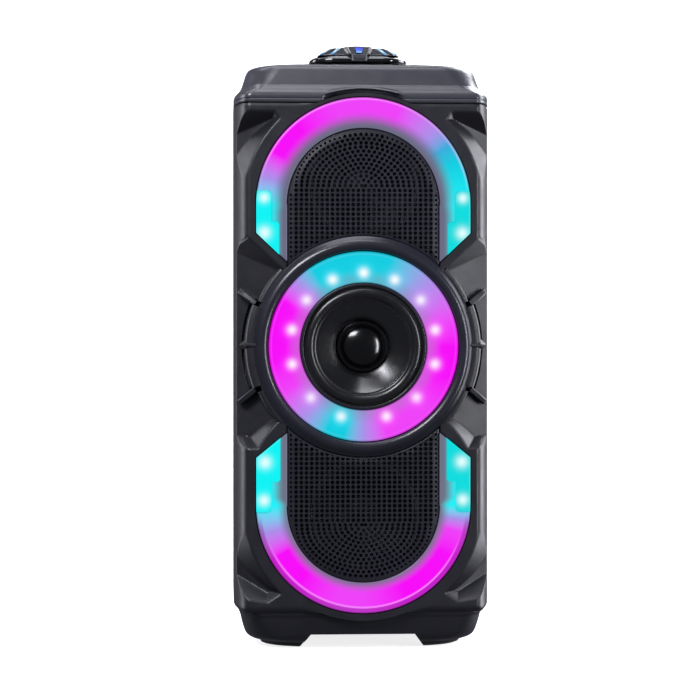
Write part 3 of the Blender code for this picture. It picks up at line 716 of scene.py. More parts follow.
# The cap's levels, and below the base's and the feet's: height, and how far in from the cabinet's outline
CAP_LEVELS = (
    (451.8, 1.2), (452.2, 0.4), (452.9, 0.0), (454.4, 0.0), (454.9, 0.35), (455.4, 0.35), (455.9, 0.0),
    (457.4, 0.0), (458.9, 0.25), (460.4, 0.95), (462.0, 2.2), (463.6, 3.6), (465.3, 4.95), (467.2, 6.1),
    (470.0, 7.15), (473.0, 8.1), (476.0, 9.0), (479.0, 9.95), (481.0, 10.8), (482.6, 11.9),
    (483.9, 13.6), (484.9, 16.2), (485.6, 19.6), (DECK, 24.0), (DECK, 34.0), (DECK, 50.0),
)


def cap_rings():
    """The cap's outlines by height. Its corners grow rounder as they climb."""
    heights, insets = np.array(CAP_LEVELS[:-2]).T
    fine = np.unique(np.concatenate([heights, np.arange(SEAM + 0.5, 468.0, 0.5)]))
    rings = []
    for height, inset in [*zip(fine, np.interp(fine, heights, insets)), *CAP_LEVELS[-2:]]:
        growth = min(inset, 24.0)
        x, y = around(inset, (FRONT_CORNER[0] + growth * 1.4, FRONT_CORNER[1] - growth * 0.5))
        rings.append(np.column_stack([x, y, np.full(len(x), height)]))
    return np.array(rings)


def top_cap():
    """The cap: a double-edged lip, a shoulder that rises to the deck, and the arch over the window."""
    rings = cap_rings()
    rows, columns = rings.shape[:2]
    points = np.concatenate([rings, rings[:, :1]], 1).reshape(-1, 3)
    order = np.arange(len(points))
    seam = np.arange(rows) * (columns + 1)
    order[seam + columns] = seam
    centre = len(points)
    points = np.vstack([points, [0, 0, DECK]])
    fan = [(seam[-1] + i, seam[-1] + (i + 1) % columns, centre) for i in range(columns)]
    triangles = np.vstack([order[lattice(columns + 1, rows)], fan])
    reach = np.hypot(points[:, 0], points[:, 2] - UPPER_Z)
    front_face = (points[:, 1] < 0) & (points[:, 2] < 470)
    fade = 1 - smooth(np.abs(points[:, 0]), 26.0, 35.0)
    under = (1 - smooth(reach, 95.3, 96.1)) * (2.2 + 1.3 * clamp(95.6 - reach, 0, 3.6))
    points[:, 1] += np.where(front_face, fade * (under - bump(reach, 97.0, 1.1) * 0.35), 0.0)
    points, triangles = clip(points, triangles, np.where(front_face, BROW_R + 0.5 - reach, -9.0))
    at_arch = lambda p: (p[:, 1] < -80) & (np.abs(p[:, 0]) < 60)
    points, triangles = add_rim(points, triangles, (0, 4.5, 0), at_arch)
    # The cap's plastic is painted lighter than the shell's: painted light
    obj = add_object("top_cap_skin", points, triangles, SHELL_PAINTED_LIT, angle=28)
    weld(obj)
    place(obj, "cabinet", "satin_black", "top_cap")


FOOT_TOP = 12.4
BASE_LEVELS = (
    (LEDGE - 0.3, 3.7), (30.2, 3.8), (29.0, 4.2), (27.8, 4.7), (27.2, 5.2), (26.4, 5.4), (24.0, 5.9),
    (20.0, 6.9), (16.0, 8.0), (FOOT_TOP, 9.2), (FOOT_TOP, 24.0), (FOOT_TOP, 60.0),
)
FOOT_LEVELS = (
    (FOOT_TOP, 9.2), (10.6, 10.0), (9.0, 11.1), (7.6, 12.6), (6.4, 14.6), (5.4, 16.8), (4.6, 19.0),
    (4.3, 20.4), (3.6, 20.8), (2.4, 21.2), (1.4, 21.9), (0.6, 23.4), (0.1, 26.0),
)


def base_corner(inset):
    """The base's front corner, rounder where the wall is set further in."""
    return FRONT_CORNER[0] + inset * 1.2, FRONT_CORNER[1] - inset * 0.5


def base_plinth():
    """The foot of the cabinet: a sloping wall, a flat underside, and four feet that carry it on."""
    rings = []
    for height, inset in BASE_LEVELS:
        x, y = around(inset, base_corner(min(inset, 14.0)))
        rings.append([(a, b, height) for a, b in zip(x, y)])
    obj = loft("base_plinth_skin", rings, SHELL, cap=False, angle=28)
    place(obj, "cabinet", "satin_black", "base_plinth")
    for side in (-1, 1):
        for near in (-1, 1):
            foot(side, near)


def foot_outline(height, inset, side, near):
    """A foot's section: the base's own corner outside, and two straight sides inside."""
    x, y = around(inset, base_corner(min(inset, 20.0)))
    lean = 0.72 * (FOOT_TOP - height)
    inner_x, inner_y = 43.2 + lean, 42.0 + lean
    middle = (FRONT + REAR) / 2
    keep = (x * side > inner_x) & ((y - middle) * near > inner_y)
    turn = lambda p: math.atan2((p[1] - middle) * near - inner_y, p[0] * side - inner_x)
    spots = np.array(sorted(zip(x[keep], y[keep]), key=turn))
    share = np.linspace(0, len(spots) - 1, 30)
    outer = [np.interp(share, np.arange(len(spots)), spots[:, k]) for k in (0, 1)]
    far_x, far_y = side * inner_x, middle + near * inner_y
    inner = [(far_x, outer[1][-1]), (far_x, far_y), (outer[0][0], far_y)]
    return [(a, b, height) for a, b in [*zip(*outer), *inner]]


def foot(side, near):
    """A foot that follows the base's corner, on a rubber pad."""
    word = f"{'front' if near < 0 else 'rear'}_{HAND[side]}"
    block = [foot_outline(h, i, side, near) for h, i in FOOT_LEVELS if h > 3.4]
    place(loft(f"foot_{word}", block, SHELL), "cabinet", "satin_black", "base_plinth")
    pad = [foot_outline(h, i + 0.5, side, near) for h, i in FOOT_LEVELS if h < 4.0]
    place(loft(f"foot_pad_skin_{word}", pad, RUBBER), "cabinet", "rubber", f"foot_pad_{word}")


def rear_columns():
    """X and Y round the rear shell, with a tongue at each end that reaches under the front."""
    rx, ry = REAR_CORNER
    rear_x, rear_y = corner_curve((rx, ry), 40)
    side = np.linspace(SPLIT + 0.15, REAR - ry, 60, endpoint=False)
    flat = np.linspace(HALF_W - rx, 0, 90)[1:]
    tongue_x, tongue_y = HALF_W - np.array([1.4, 1.4, 0.7]), SPLIT + np.array([-3.0, 0.15, 0.15])
    px = np.concatenate([tongue_x, np.full(len(side), HALF_W), HALF_W - rx + rear_x[::-1], flat])
    py = np.concatenate([tongue_y, side + 0.5, REAR - rear_y[::-1], np.full(len(flat), REAR)])
    return np.concatenate([px, -px[-2::-1]]), np.concatenate([py, py[-2::-1]])


def rear_shell():
    """The rear half: rounded corners, openings for the panel, port and grip, and its own ribs."""
    px, py = rear_columns()
    heights = np.linspace(LEDGE, SEAM - GAP, 360)
    x, z = (v.ravel() for v in np.meshgrid(px, heights))
    y = np.tile(py, len(heights))
    lip = 0.9 * smooth(z, SEAM - 2.2, SEAM - 0.2) + low_lip(z)
    y -= lip * smooth(y, REAR - REAR_CORNER[1], REAR)
    x -= np.sign(x) * lip * smooth(np.abs(x), HALF_W - REAR_CORNER[0], HALF_W)
    at_back = smooth(y, REAR - 1.0, REAR - 0.4)
    panel_out = np.maximum(np.abs(x) - PANEL_X, beyond(z, *PANEL_Z))
    grip_out = np.maximum(np.abs(x) - GRIP_X, beyond(z, *GRIP_Z))
    port_out = np.hypot(x, z - PORT_Z) - PORT_R
    for out in (panel_out, grip_out, port_out):
        y += 0.9 * at_back * bump(out, 2.2, 1.3)
    ribs = bump(np.abs((z - RIBS[0]) % RIB_PITCH - RIB_PITCH / 2), 0.0, 0.9) * band(z, *RIBS, 4.0)
    y -= 1.1 * at_back * ribs * (1 - smooth(np.abs(x), 58, 62))
    points = np.column_stack([x, y, z])
    holes = -np.minimum(np.minimum(panel_out, grip_out), port_out - 0.4)
    field = np.where(y > REAR - 3, holes, -9.0)
    points, triangles = clip(points, lattice(len(px), len(heights)), field)
    at_holes = lambda p: (p[:, 1] > REAR - 2.5) & (np.abs(p[:, 0]) < 62) & (beyond(p[:, 2], 60, 440) < 0)
    points, triangles = add_rim(points, triangles, (0, -3.5, 0), at_holes)
    obj = add_object("rear_shell_skin", points, triangles, SHELL, angle=35)
    place(obj, "cabinet", "satin_black", "rear_shell")


def rear_screws():
    """Socket-head screws that hold the rear shell."""
    head = [(3.4, 1.5), (3.4, 0.0), (3.2, -0.25), (2.8, -0.4)]
    profile = [*head, (1.5, -0.4), (1.3, -0.2), (1.3, 1.2), (0.0, 1.2)]
    for row, z in enumerate(SCREW_Z):
        for side, word in HAND.items():
            at = (side * SCREW_X, REAR, z)
            place(surface_of_turn(f"screw_{word}_{row + 1}", profile, at, DARK_STEEL, 36), "cabinet", "steel")


# ---------------------------------------------------------------- lights


# The lamps' colours
MAGENTA = "f600f8"
ORCHID = "ee40f8"
LILAC = "a890e8"
BLUE = "38acdc"
CYAN = "04cce0"
AQUA = "1cf0f8"
LAMP_WHITE = "ffffff"

# The glow: an angle in degrees and a colour, from the middle of each window's arc and from the ring's top
UPPER_GLOW = (
    (-90, AQUA), (-75, LILAC), (-60, MAGENTA), (-40, MAGENTA), (-15, ORCHID), (20, ORCHID), (45, LILAC),
    (55, BLUE), (65, CYAN), (90, AQUA),
)
LOWER_GLOW = (
    (-90, AQUA), (-75, LILAC), (-60, MAGENTA), (-40, MAGENTA), (-15, ORCHID), (0, ORCHID), (25, MAGENTA),
    (60, MAGENTA), (75, ORCHID), (82, LILAC), (90, AQUA),
)
RING_GLOW_STOPS = (
    (-180, LILAC), (-168, CYAN), (-156, CYAN), (-140, LILAC), (-120, ORCHID), (-100, MAGENTA), (-60, MAGENTA),
    (-46, LILAC), (-34, CYAN), (18, CYAN), (45, LILAC), (75, ORCHID), (90, MAGENTA), (110, MAGENTA),
    (135, ORCHID), (165, ORCHID), (180, LILAC),
)
# Each window's light, by the way it faces: its glow, the radii between which it rises, and its unlit colour
WINDOW_LIGHT = {1: (UPPER_GLOW, 64.2, 77.5, "6a6a82"), -1: (LOWER_GLOW, 62.0, 72.5, "6e7084")}
# Its bright cells: two corners and a corner radius. Its lamps: across, height and width
WINDOW_CELLS = {
    1: (((69.6, 310.0), (94.0, 354.0), 3.0), ((75.8, 340.0), (94.0, 379.0), 3.6)),
    -1: (((68.4, 139.5), (94.0, 190.0), 3.0), ((76.0, 114.4), (94.0, 150.0), 3.6)),
}
WINDOW_LAMPS = {1: ((82.0, 373.3, 4.0), (81.6, 344.4, 5.0)), -1: ((81.2, 155.7, 5.0), (82.0, 124.4, 4.5))}
# The ring's lamps: the angle to either side of the top, and how bright each of the pair is
RING_LEDS = ((0, 1.0), (25, 0.95), (51, 0.8), (77, 0.85), (104, 0.85), (134, 0.7), (162, 0.8))


def window_colours(window, x, z):
    """The glow of a window at each point: grey beside the grille, and lit towards the outside."""
    glow, start, end, unlit = WINDOW_LIGHT[window["up"]]
    local = window["up"] * (z - window["centre"])
    angle = np.degrees(np.arctan2(x, np.maximum(local, 0)))
    radius = np.hypot(x, np.maximum(local, 0))
    straight = smooth(-local, 0, 8)
    end = end * (1 - straight) + 78.0 * straight
    start = start * (1 - straight) + 65.5 * straight
    share = smooth((radius - start) / (end - start), 0.0, 1.0)[:, None]
    colours = linear(unlit) * (1 - share) + colour_stops(angle, glow) * share
    if window["up"] > 0:
        colours = blend_colour(colours, "ffb8ff", 0.55 * bump(radius, 87.0, 0.5) * smooth(local, 5, 40))
    else:
        colours = blend_colour(colours, "8c2a96", 0.6 * smooth(radius, 84.0, 85.2) * smooth(local, 4, 20))
        colours = blend_colour(colours, "ffd0ff", 0.5 * bump(radius, 83.6, 0.5) * smooth(local, 20, 60))
    edge = smooth(-window_field(window, x, z), 0.0, 0.9)
    return colours * (0.25 + 0.75 * edge)[:, None]


def rounded_block(across, z, low, high, radius):
    """1 inside a rectangle with rounded corners, and 0 outside it."""
    distance = corner_distance(beyond(across, low[0], high[0]) + radius, beyond(z, low[1], high[1]) + radius)
    return 1 - smooth(distance - radius, -0.5, 0.5)


def light_cells(window, x, z):
    """1 inside the bright cells at a window's sides, and 1 at their lamps."""
    side = np.abs(x)
    cells = np.maximum(*(rounded_block(side, z, *cell) for cell in WINDOW_CELLS[window["up"]]))
    lamps = WINDOW_LAMPS[window["up"]]
    spots = sum(bump(np.hypot(side - across, z - height), 0, width) for across, height, width in lamps)
    return cells, clamp(spots)


def window_lens(window, word):
    """The milky window pane round the grille, lit in cells at its sides."""
    across = np.linspace(-90, 90, 226)
    heights = np.linspace(window["centre"] - 92, window["centre"] + 92, 230)
    x, z = (v.ravel() for v in np.meshgrid(across, heights))
    field = np.maximum(window_field(window, x, z), -grille_field(window, x, z, 0.4))
    points, triangles = clip(np.column_stack([x, x * 0, z]), lattice(len(across), len(heights)), field)
    x, z = points[:, 0], points[:, 2]
    outer_roll = 0.9 * (1 - np.sqrt(1 - (1 - clamp(-window_field(window, x, z) / 1.6)) ** 2))
    inner_roll = 0.7 * (1 - clamp(grille_field(window, x, z, 0.4) / 1.2)) ** 2
    points[:, 1] = LENS_FRONT + outer_roll + inner_roll
    cells, spots = light_cells(window, x, z)
    colours = blend_colour(window_colours(window, x, z), "02f2f4", cells)
    colours *= (1 - np.where(x > 0, 0.2, 0.0) * cells)[:, None]
    colours = blend_colour(colours, "e0ffff", spots * cells)
    colours = blend_colour(colours, "0b8ea0", 2 * cells * (1 - cells))
    count = len(points)
    points, triangles = add_rim(points, triangles, (0, 2.8, 0))
    colours = np.concatenate([colours, np.tile(linear("3c2a50"), (len(points) - count, 1))])
    obj = add_object(f"{word}_lens_pane", points, triangles, LENS, colours, angle=50)
    place(obj, "cabinet", "lit_lens", f"{word}_light_lens")


def hole_centres():
    """Centres and radii of a grille's holes in its own frame: arcs in its dome, rows below them."""
    holes = []
    pitch_x, pitch_z, dome = 4.28, 3.9, 15.6
    for row in range(14):
        wide, tall = 4.5 * row + 1.6, 3.42 * row + 1.2
        count = max(1, round(math.pi * math.sqrt((wide**2 + tall**2) / 2) / 4.0))
        for spot in arc((0, dome), (wide, tall), np.linspace(0, 180, count + 1)):
            holes.append((*spot, GRILLE_R - math.hypot(*spot), 1.52))
    for row in range(1, 31):
        local = dome - row * pitch_z
        for across in np.arange(-15, 16) * pitch_x:
            holes.append((across, local, GRILLE_R - math.hypot(across, max(local, 0.0)), 1.62))
    return [(a, b, radius if reach > 4.5 else 1.1) for a, b, reach, radius in holes if reach > 2.0]


def grille(window, word):
    """A moulded grille with real round holes, pillowed towards its edges."""
    centre, up = window["centre"], window["up"]
    across, local = np.linspace(-64, 64, 238), np.linspace(-112, 64, 327)
    x, z = (v.ravel() for v in np.meshgrid(across, local))
    holes = hole_centres()
    tree = kdtree.KDTree(len(holes))
    for index, (a, b, _) in enumerate(holes):
        tree.insert((a, b, 0), index)
    tree.balance()
    edge = grille_field(window, x, centre + up * z)
    inside = np.empty(len(x))
    for k, (a, b) in enumerate(zip(x, z)):
        _, index, distance = tree.find((a, b, 0))
        inside[k] = holes[index][2] - distance
    field = np.where(edge > -1.6, edge, np.maximum(edge, inside))
    points, triangles = clip(np.column_stack([x, x * 0, z]), lattice(len(across), len(local)), field)
    points[:, 2] = centre + up * points[:, 2]
    depth = -grille_field(window, points[:, 0], points[:, 2])
    points[:, 1] = FRONT + 1.5 * (1 - smooth(depth, 0.0, 7.0)) * (1 - 0.35 * smooth(depth, 0, 1.0))
    points, triangles = add_rim(points, triangles, (0, 1.8, 0))
    obj = add_object(f"{word}_grille_mesh", points, triangles, GRILLE, angle=40)
    place(obj, "cabinet", "grille_plastic", f"{word}_grille")


def ring_colours(points):
    """The ring's glow, by the angle from its top, with a bright spot over each lamp."""
    x, z = points[:, 0], points[:, 2] - RING_Z
    radius = np.hypot(x, z)
    colours = colour_stops(np.degrees(np.arctan2(x, z)), RING_GLOW_STOPS)
    colours = blend_colour(colours, "8884a2", 0.42 * (1 - smooth(radius, RING_IN_R + 1, RING_IN_R + 13)))
    lamps = [*RING_LEDS, *((-angle, power) for angle, power in RING_LEDS[1:])]
    for angle, power in lamps:
        turn = math.radians(angle)
        away = np.hypot(x - LED_R * math.sin(turn), z - LED_R * math.cos(turn))
        own = colour_stops([float(angle)], RING_GLOW_STOPS)
        halo = 0.7 * bump(away, 0, 7.5)[:, None]
        colours = colours * (1 - halo) + np.minimum(own * 1.3 + 0.03, 1.0) * halo
        colours = blend_colour(colours, LAMP_WHITE, power * bump(away, 0, 3.9))
    colours = blend_colour(colours, "ffe0ff", 0.12 * bump(radius, 76.6, 0.35))
    fade = smooth(radius, RING_IN_R - 0.5, RING_IN_R + 1.2) * (1 - 0.5 * smooth(radius, 76.8, RING_OUT_R))
    return colours * (fade * np.where(points[:, 1] > -95.5, 0.3, 1.0))[:, None]


# The band beside the ring: its section as (radius, height) in the middle and at the ends, and the angles
FLANGE_WIDE = (
    (89.6, 96.4), (91.4, 96.9), (94.2, 96.6), (96.2, 95.6), (97.2, 94.0), (97.7, 91.0), (98.2, 80.0),
)
FLANGE_SLIM = (
    (89.6, 96.4), (91.0, 96.7), (92.6, 96.4), (93.8, 95.7), (94.6, 94.4), (95.2, 91.0), (96.4, 80.0),
)
FLANGE_PARTS = {
    "middle": (FLANGE_WIDE, -20.6, 20.6), "upper": (FLANGE_SLIM, 23.4, 43.0),
    "lower": (FLANGE_SLIM, -43.0, -23.4),
}


def ring_flange(side):
    """The band beside the ring, in an outer middle part and two narrower ends, split by the pits."""
    for part, (section, low, high) in FLANGE_PARTS.items():
        turns = np.radians(np.linspace(low, high, 60))
        rings = [[(side * r * math.cos(t), -h, RING_Z + r * math.sin(t)) for r, h in section] for t in turns]
        name = f"ring_flange_{part}_{HAND[side]}"
        piece = loft(name, rings, SHELL, angle=40, closed=False, cap=False)
        place(piece, "cabinet", "satin_black", "front_shell")


def ring_pointer(side):
    """The small pointed rib that marks the ring's middle height."""
    base = [(87.5, -4.6), (97.5, -4.9), (102.4, 0.4), (97.5, 5.0), (87.5, 4.4)]
    crest = [(88.5, -0.9, 98.2), (97.0, -0.8, 98.0), (101.0, 0.3, 94.5), (97.0, 0.9, 98.0), (88.5, 0.9, 98.2)]
    rings = [[(side * x, y, RING_Z + 1.0 + z) for x, z in base] for y in (-80.0, -91.0)]
    rings.append([(side * x, -y, RING_Z + 1.0 + z) for x, z, y in crest])
    return bevelled(loft(f"ring_pointer_{HAND[side]}", rings, SHELL, angle=20), 0.4)


def ring_parts():
    """The lit ring, its bezel and the driver's trim."""
    at = (0, 0, RING_Z)
    radii = np.linspace(RING_IN_R, RING_OUT_R, 26)
    crown = 97.9 - 1.3 * ((radii - 67) / 13.5) ** 2 - 0.9 * (radii < 53)
    profile = [(RING_IN_R, 94.8), *zip(radii, crown), (RING_OUT_R, 94.8)]
    lens = surface_of_turn("ring_lens_pane", profile, at, RING_GLOW, 256, colours=ring_colours)
    place(lens, "cabinet", "lit_lens", "ring_light_lens")
    bezel = [
        (79.1, 96.2), (79.1, 98.4), (79.6, 99.3), (80.4, 100.0), (81.6, 100.6), (83.2, 100.95), (84.8, 100.8),
        (86.4, 100.1), (87.8, 98.9), (89.0, 97.6), (90.0, 96.8), (90.8, 96.2), (91.0, 94.6), (90.2, 94.4),
    ]
    place(surface_of_turn("ring_bezel_skin", bezel, at, TRIM, 256), "cabinet", "satin_black", "ring_bezel")
    for side in (-1, 1):
        ring_flange(side)
        place(ring_pointer(side), "cabinet", "satin_black", "front_shell")
    trim = rounded_profile([(49.6, 94.3), (49.7, 97.2), (51.9, 97.2), (52.1, 94.3)], 0.8)
    trim_ring = surface_of_turn("trim_ring_skin", trim, at, TRIM, 192)
    place(trim_ring, "cabinet", "satin_black", "driver_trim_ring")


# ---------------------------------------------------------------- the middle driver


def roll_profile():
    """The rubber roll's section, from the flange inwards over its crest and back underneath."""
    crest = arc((44.3, 1.7), (4.1, 3.7), np.linspace(0, 180, 17))
    under = arc((44.3, 1.0), (3.4, 3.2), np.linspace(180, 0, 17)[1:-1])
    inner_edge = [(39.6, 1.3), (38.4, 1.2), (38.4, 0.5), (40.2, 0.5)]
    return [(50.4, 1.7), (48.8, 1.7), *crest, *inner_edge, *under, (50.4, 0.5)]


def follow_cone(roll, surround):
    """Bakes the roll's placement into its mesh and hides the CAD surround that it stands for."""
    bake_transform(roll)
    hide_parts(surround)


def woofer_rolls():
    """The hidden woofers' rubber rolls."""
    for word, z in WOOFERS.items():
        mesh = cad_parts[f"{word}_woofer_surround"].data.copy()
        mesh.materials.clear()
        mesh.materials.append(RUBBER)
        roll = bpy.data.objects.new(f"{word}_woofer_roll", mesh)
        bpy.context.scene.collection.objects.link(roll)
        weld(roll)
        follow_cone(roll, f"{word}_woofer_surround")


def centre_driver():
    """The glossy cone, its dust cap and the rubber roll."""
    at = (0, CONE_FRONT, RING_Z)
    roll = surface_of_turn("driver_roll", roll_profile(), at, ROLL, 192)
    follow_cone(roll, "centre_surround")
    front = [(r, -0.6 - 15.5 * ((39.3 - r) / 22.0) ** 0.9) for r in np.linspace(39.3, 19.0, 30)]
    back = [(r, h - 1.1) for r, h in reversed(front)]
    cone = surface_of_turn("cone_skin", front + back, at, CONE, 192)
    place(cone, "centre_cone", "gloss_black", "centre_cone")
    edge = [(20.5, -13.2), (20.5, -11.4), (19.8, -10.6), (18.6, -10.6), (18.0, -11.2)]
    dome = arc((0, -11.2), (17.8, 7.4), np.linspace(0, 90, 13))
    cap = [*edge, *dome, (0.0, -4.8), (10.0, -6.4), (17.0, -12.6)]
    dust_cap = surface_of_turn("dust_cap_skin", cap, at, CAP_GLOSS)
    place(dust_cap, "centre_cone", "gloss_black", "centre_dust_cap")
    for word, spot in (("cap_line", (20.4, -11.6)), ("cone_line", (38.6, -0.5))):
        line = surface_of_turn(word, circle(spot, 0.32, 10), at, BRIGHT_LINE)
        place(line, "centre_cone", "gloss_black")


# ---------------------------------------------------------------- the console on top


# The collar's levels are (inset, height), and the crown's (half width, half depth, corner radius, height)
COLLAR_LEVELS = (
    (1.4, 492.7), (0.5, 493.0), (0.1, 493.6), (0.0, 494.6), (0.1, 495.6), (0.5, 496.4), (1.2, 497.0),
    (1.5, 497.05), (1.7, 497.3), (2.6, 497.9), (3.9, 498.5), (5.4, 498.9), (7.0, 499.0),
)
CROWN_LEVELS = (
    (34.4, 30.6, 9.0, 499.3), (34.9, 31.1, 9.0, 499.5), (34.8, 31.0, 9.0, 499.9), (25.2, 21.9, 7.0, 506.1),
    (24.6, 21.3, 7.0, 506.5), (23.8, 20.5, 7.0, 506.6), (19.6, 19.6, 19.6, 506.6), (19.2, 19.2, 19.2, 506.2),
    (19.2, 19.2, 19.2, 503.2),
)
# The crown's panels, corner by corner: how far along, and the share of the way up the slope
CROWN_PANELS = {
    "inner": ((9.8, 0.1), (20.4, 0.1), (15.0, 0.94), (12.4, 0.94)),
    "outer": ((25.2, 0.16), (29.4, 0.16), (21.9, 0.9), (19.0, 0.94)),
    "side": ((-17.0, 0.14), (17.0, 0.14), (12.0, 0.9), (-12.0, 0.9)),
}
# The light strips: where they start and end, and which way they face. The V frame: its arms' outer edge
STRIPS = {
    "inner": ((23.0, -32.0, 500.4), (17.0, -23.6, 506.4), (0.0, -0.6, 0.8)),
    "outer": ((32.6, -26.4, 500.6), (24.0, -18.4, 506.0), (0.5, -0.5, 0.9)),
}
V_FRAME = ((6.6, -42.5, 493.0), (7.0, -37.8, 499.2), (8.6, -34.8, 500.4), (11.0, -25.3, 507.4))


def rounded(half_x, half_y, radius, height, steps=12):
    """A rounded rectangle round the console's axis."""
    ring = []
    for side_x, side_y, start in ((1, 1, 0), (-1, 1, 90), (-1, -1, 180), (1, -1, 270)):
        centre = (side_x * (half_x - radius), side_y * (half_y - radius))
        corner = arc(centre, (radius, radius), np.linspace(start, start + 90, steps + 1))
        ring += [(x, y, height) for x, y in corner]
    return ring


def oblong(half, near, far, height):
    """A rectangle across the console's middle."""
    return [(-half, near, height), (half, near, height), (half, far, height), (-half, far, height)]


def console_body():
    """The glossy collar, and the sloping crown with its panels and its round well for the knob."""
    collar = [rounded(41.8 - inset, 37.8 - inset, 22.0, height) for inset, height in COLLAR_LEVELS]
    place(loft("collar_skin", collar, GLOSS, angle=50), "cabinet", "gloss_black", "console_collar")
    crown = loft("crown_skin", [rounded(*level) for level in CROWN_LEVELS], TRIM, angle=28)
    place(crown, "cabinet", "satin_black", "console_crown")
    for side, hand in HAND.items():
        for word, corners in CROWN_PANELS.items():
            panel = slope_panel(f"crown_panel_{word}_{hand}", corners, side, word == "side")
            place(panel, "cabinet", "satin_black", "console_crown")


def slope_panel(name, corners, side, sideways):
    """A thin matt panel on the crown's front or side slope."""
    sections = []
    for lift, shrink in ((-0.4, 0.0), (0.35, 0.0), (0.6, 0.3)):
        middle = sum(a for a, _ in corners) / len(corners)
        ring = []
        for along, share in corners:
            along += shrink * (1 if along < middle else -1)
            out, rise = 31.0 - 9.5 * share + 0.609 * lift, 499.3 + 7.3 * share + 0.793 * lift
            ring.append((side * (out + 3.6), along, rise) if sideways else (side * along, -out, rise))
        sections.append(ring)
    return loft(name, sections, PANEL, angle=20)


def console_arms():
    """The V-shaped frame: two arms, a recessed plate between them, and a stem."""
    width, thick = 2.3, 1.8
    for side, hand in HAND.items():
        rings = []
        for x, y, z in V_FRAME:
            ring = [(x, y), (x - width, y), (x - width + 0.5, y - thick), (x - 0.3, y - thick)]
            rings.append([(side * a, b, z) for a, b in ring])
        arm = bevelled(loft(f"console_arm_{hand}", rings, TRIM, angle=20), 0.3)
        place(arm, "cabinet", "gloss_black", "console_v_frame")
    plate = [oblong(x - 1.8, y, y - 0.6, z) for x, y, z in V_FRAME]
    place(loft("console_plate", plate, PANEL, angle=20), "cabinet", "gloss_black", "console_v_frame")
    low, high = V_FRAME[:2]
    stem = [oblong(low[0], high[1] + 0.4, y, z) for y, z in ((-42.2, low[2]), (-39.4, high[2]))]
    place(bevelled(loft("console_stem", stem, TRIM), 0.5), "cabinet", "gloss_black", "console_v_frame")


def console_lights():
    """The blue indicator between the arms and the four strips beside it."""
    rings = []
    for share in np.linspace(0, 1, 9):
        y = -36.3 + 7.3 * share
        rings.append(oblong(2.2 + 1.4 * share, y, y - 0.8, 501.0 + 5.4 * share))
    stops = ((501.0, "9fd4ff"), (502.4, "4a90ff"), (503.6, "0a50ff"), (506.4, "0028d0"))
    lens = loft("indicator_pane", rings, BLUE_GLOW, glow=lambda points: colour_stops(points[:, 2], stops))
    place(bevelled(lens, 0.25), "cabinet", "blue_lens", "indicator_lens")
    for word, strip in STRIPS.items():
        for side, hand in HAND.items():
            bar = light_strip(*strip, side, f"{word}_{hand}")
            place(bar, "cabinet", "blue_lens", f"light_strip_{word}_{hand}")


def light_strip(start, end, up, side, word):
    """A bar with rounded ends, brightest along its middle."""
    start, end = Vector(start), Vector(end)
    along, up = (end - start).normalized(), Vector(up).normalized()
    across = along.cross(up).normalized()
    rings = []
    for share in (0.0, 0.04, 0.1, 0.5, 0.9, 0.96, 1.0):
        slim = np.interp(min(share, 1 - share), (0.0, 0.04, 0.1), (0.55, 0.9, 1.0))
        section = arc((0, 0), (0.9 * slim, 0.6 * slim), np.linspace(0, 360, 12, endpoint=False))
        spots = [start.lerp(end, share) + across * a + up * b for a, b in section]
        rings.append([(side * spot.x, spot.y, spot.z) for spot in spots])
    middle = (start + end) / 2
    centre = np.array([side * middle.x, middle.y, middle.z])
    stops = ((0.0, "e8faff"), (3.0, "8fdcff"), (5.8, "2f9cf0"))
    glow = lambda points: colour_stops(np.linalg.norm(points - centre, axis=1), stops)
    return loft(f"strip_{word}", rings, BLUE_GLOW, angle=60, glow=glow)


def volume_knob():
    """The knob: a shallow dome over a finely fluted side, with a small pointer mark."""
    dome = arc((0, 506.9), (18.7, 3.7), np.linspace(90, 0, 20))
    profile = [*dome, (18.7, 506.2), (18.45, 506.0), (18.45, 503.8), (18.1, 503.4), (0.0, 503.4)]
    knob = surface_of_turn("knob_skin", profile, (0, 0, 0), GLOSS, 360, forward=False)
    for vertex in knob.data.vertices:
        x, y, z = vertex.co / MM
        if z < 506.1 and math.hypot(x, y) > 18:
            vertex.co.xy *= 1 - 0.012 * (0.5 + 0.5 * math.cos(60 * math.atan2(y, x)))
    place(knob, "volume_knob", "gloss_black", "volume_knob")
    rings = []
    for r, z in ((12.5, 509.35), (16.6, 508.1)):
        rings.append([(-0.5, -r, z - 0.8), (0.5, -r, z - 0.8), (0.45, -r, z + 0.25), (-0.45, -r, z + 0.25)])
    place(bevelled(loft("knob_pointer", rings, KEYS), 0.12), "volume_knob", "gloss_black", "volume_knob")


# ---------------------------------------------------------------- carried-over nodes


NODE_FINISHES = (
    (DARK_STEEL, ["centre_basket"]),
    (PAINTED_STEEL, ["upper_woofer_basket", "lower_woofer_basket"]),
    (STEEL, ["centre_magnet", "upper_woofer_magnet", "lower_woofer_magnet", "usb_port"]),
    (COPPER, ["centre_voice_coil"]),
    (CLOTH, ["centre_spider"]),
    (BOARD, ["upper_led_board", "lower_led_board", "ring_led_board", "main_board"]),
    (BATTERY, ["battery_pack"]),
    (GLOSS, ["input_panel"]),
    (RUBBER, ["grip_cup", "power_rocker"]),
    (KEYS, ["key_previous", "key_play", "key_mode", "key_next", "key_light"]),
    (PLASTIC_DARK, ["upper_woofer_cone", "lower_woofer_cone", "battery_tray", "mic_jack", "aux_jack"]),
    (PLASTIC_DARK, ["dc_inlet", "bass_port", "console_neck"]),
)


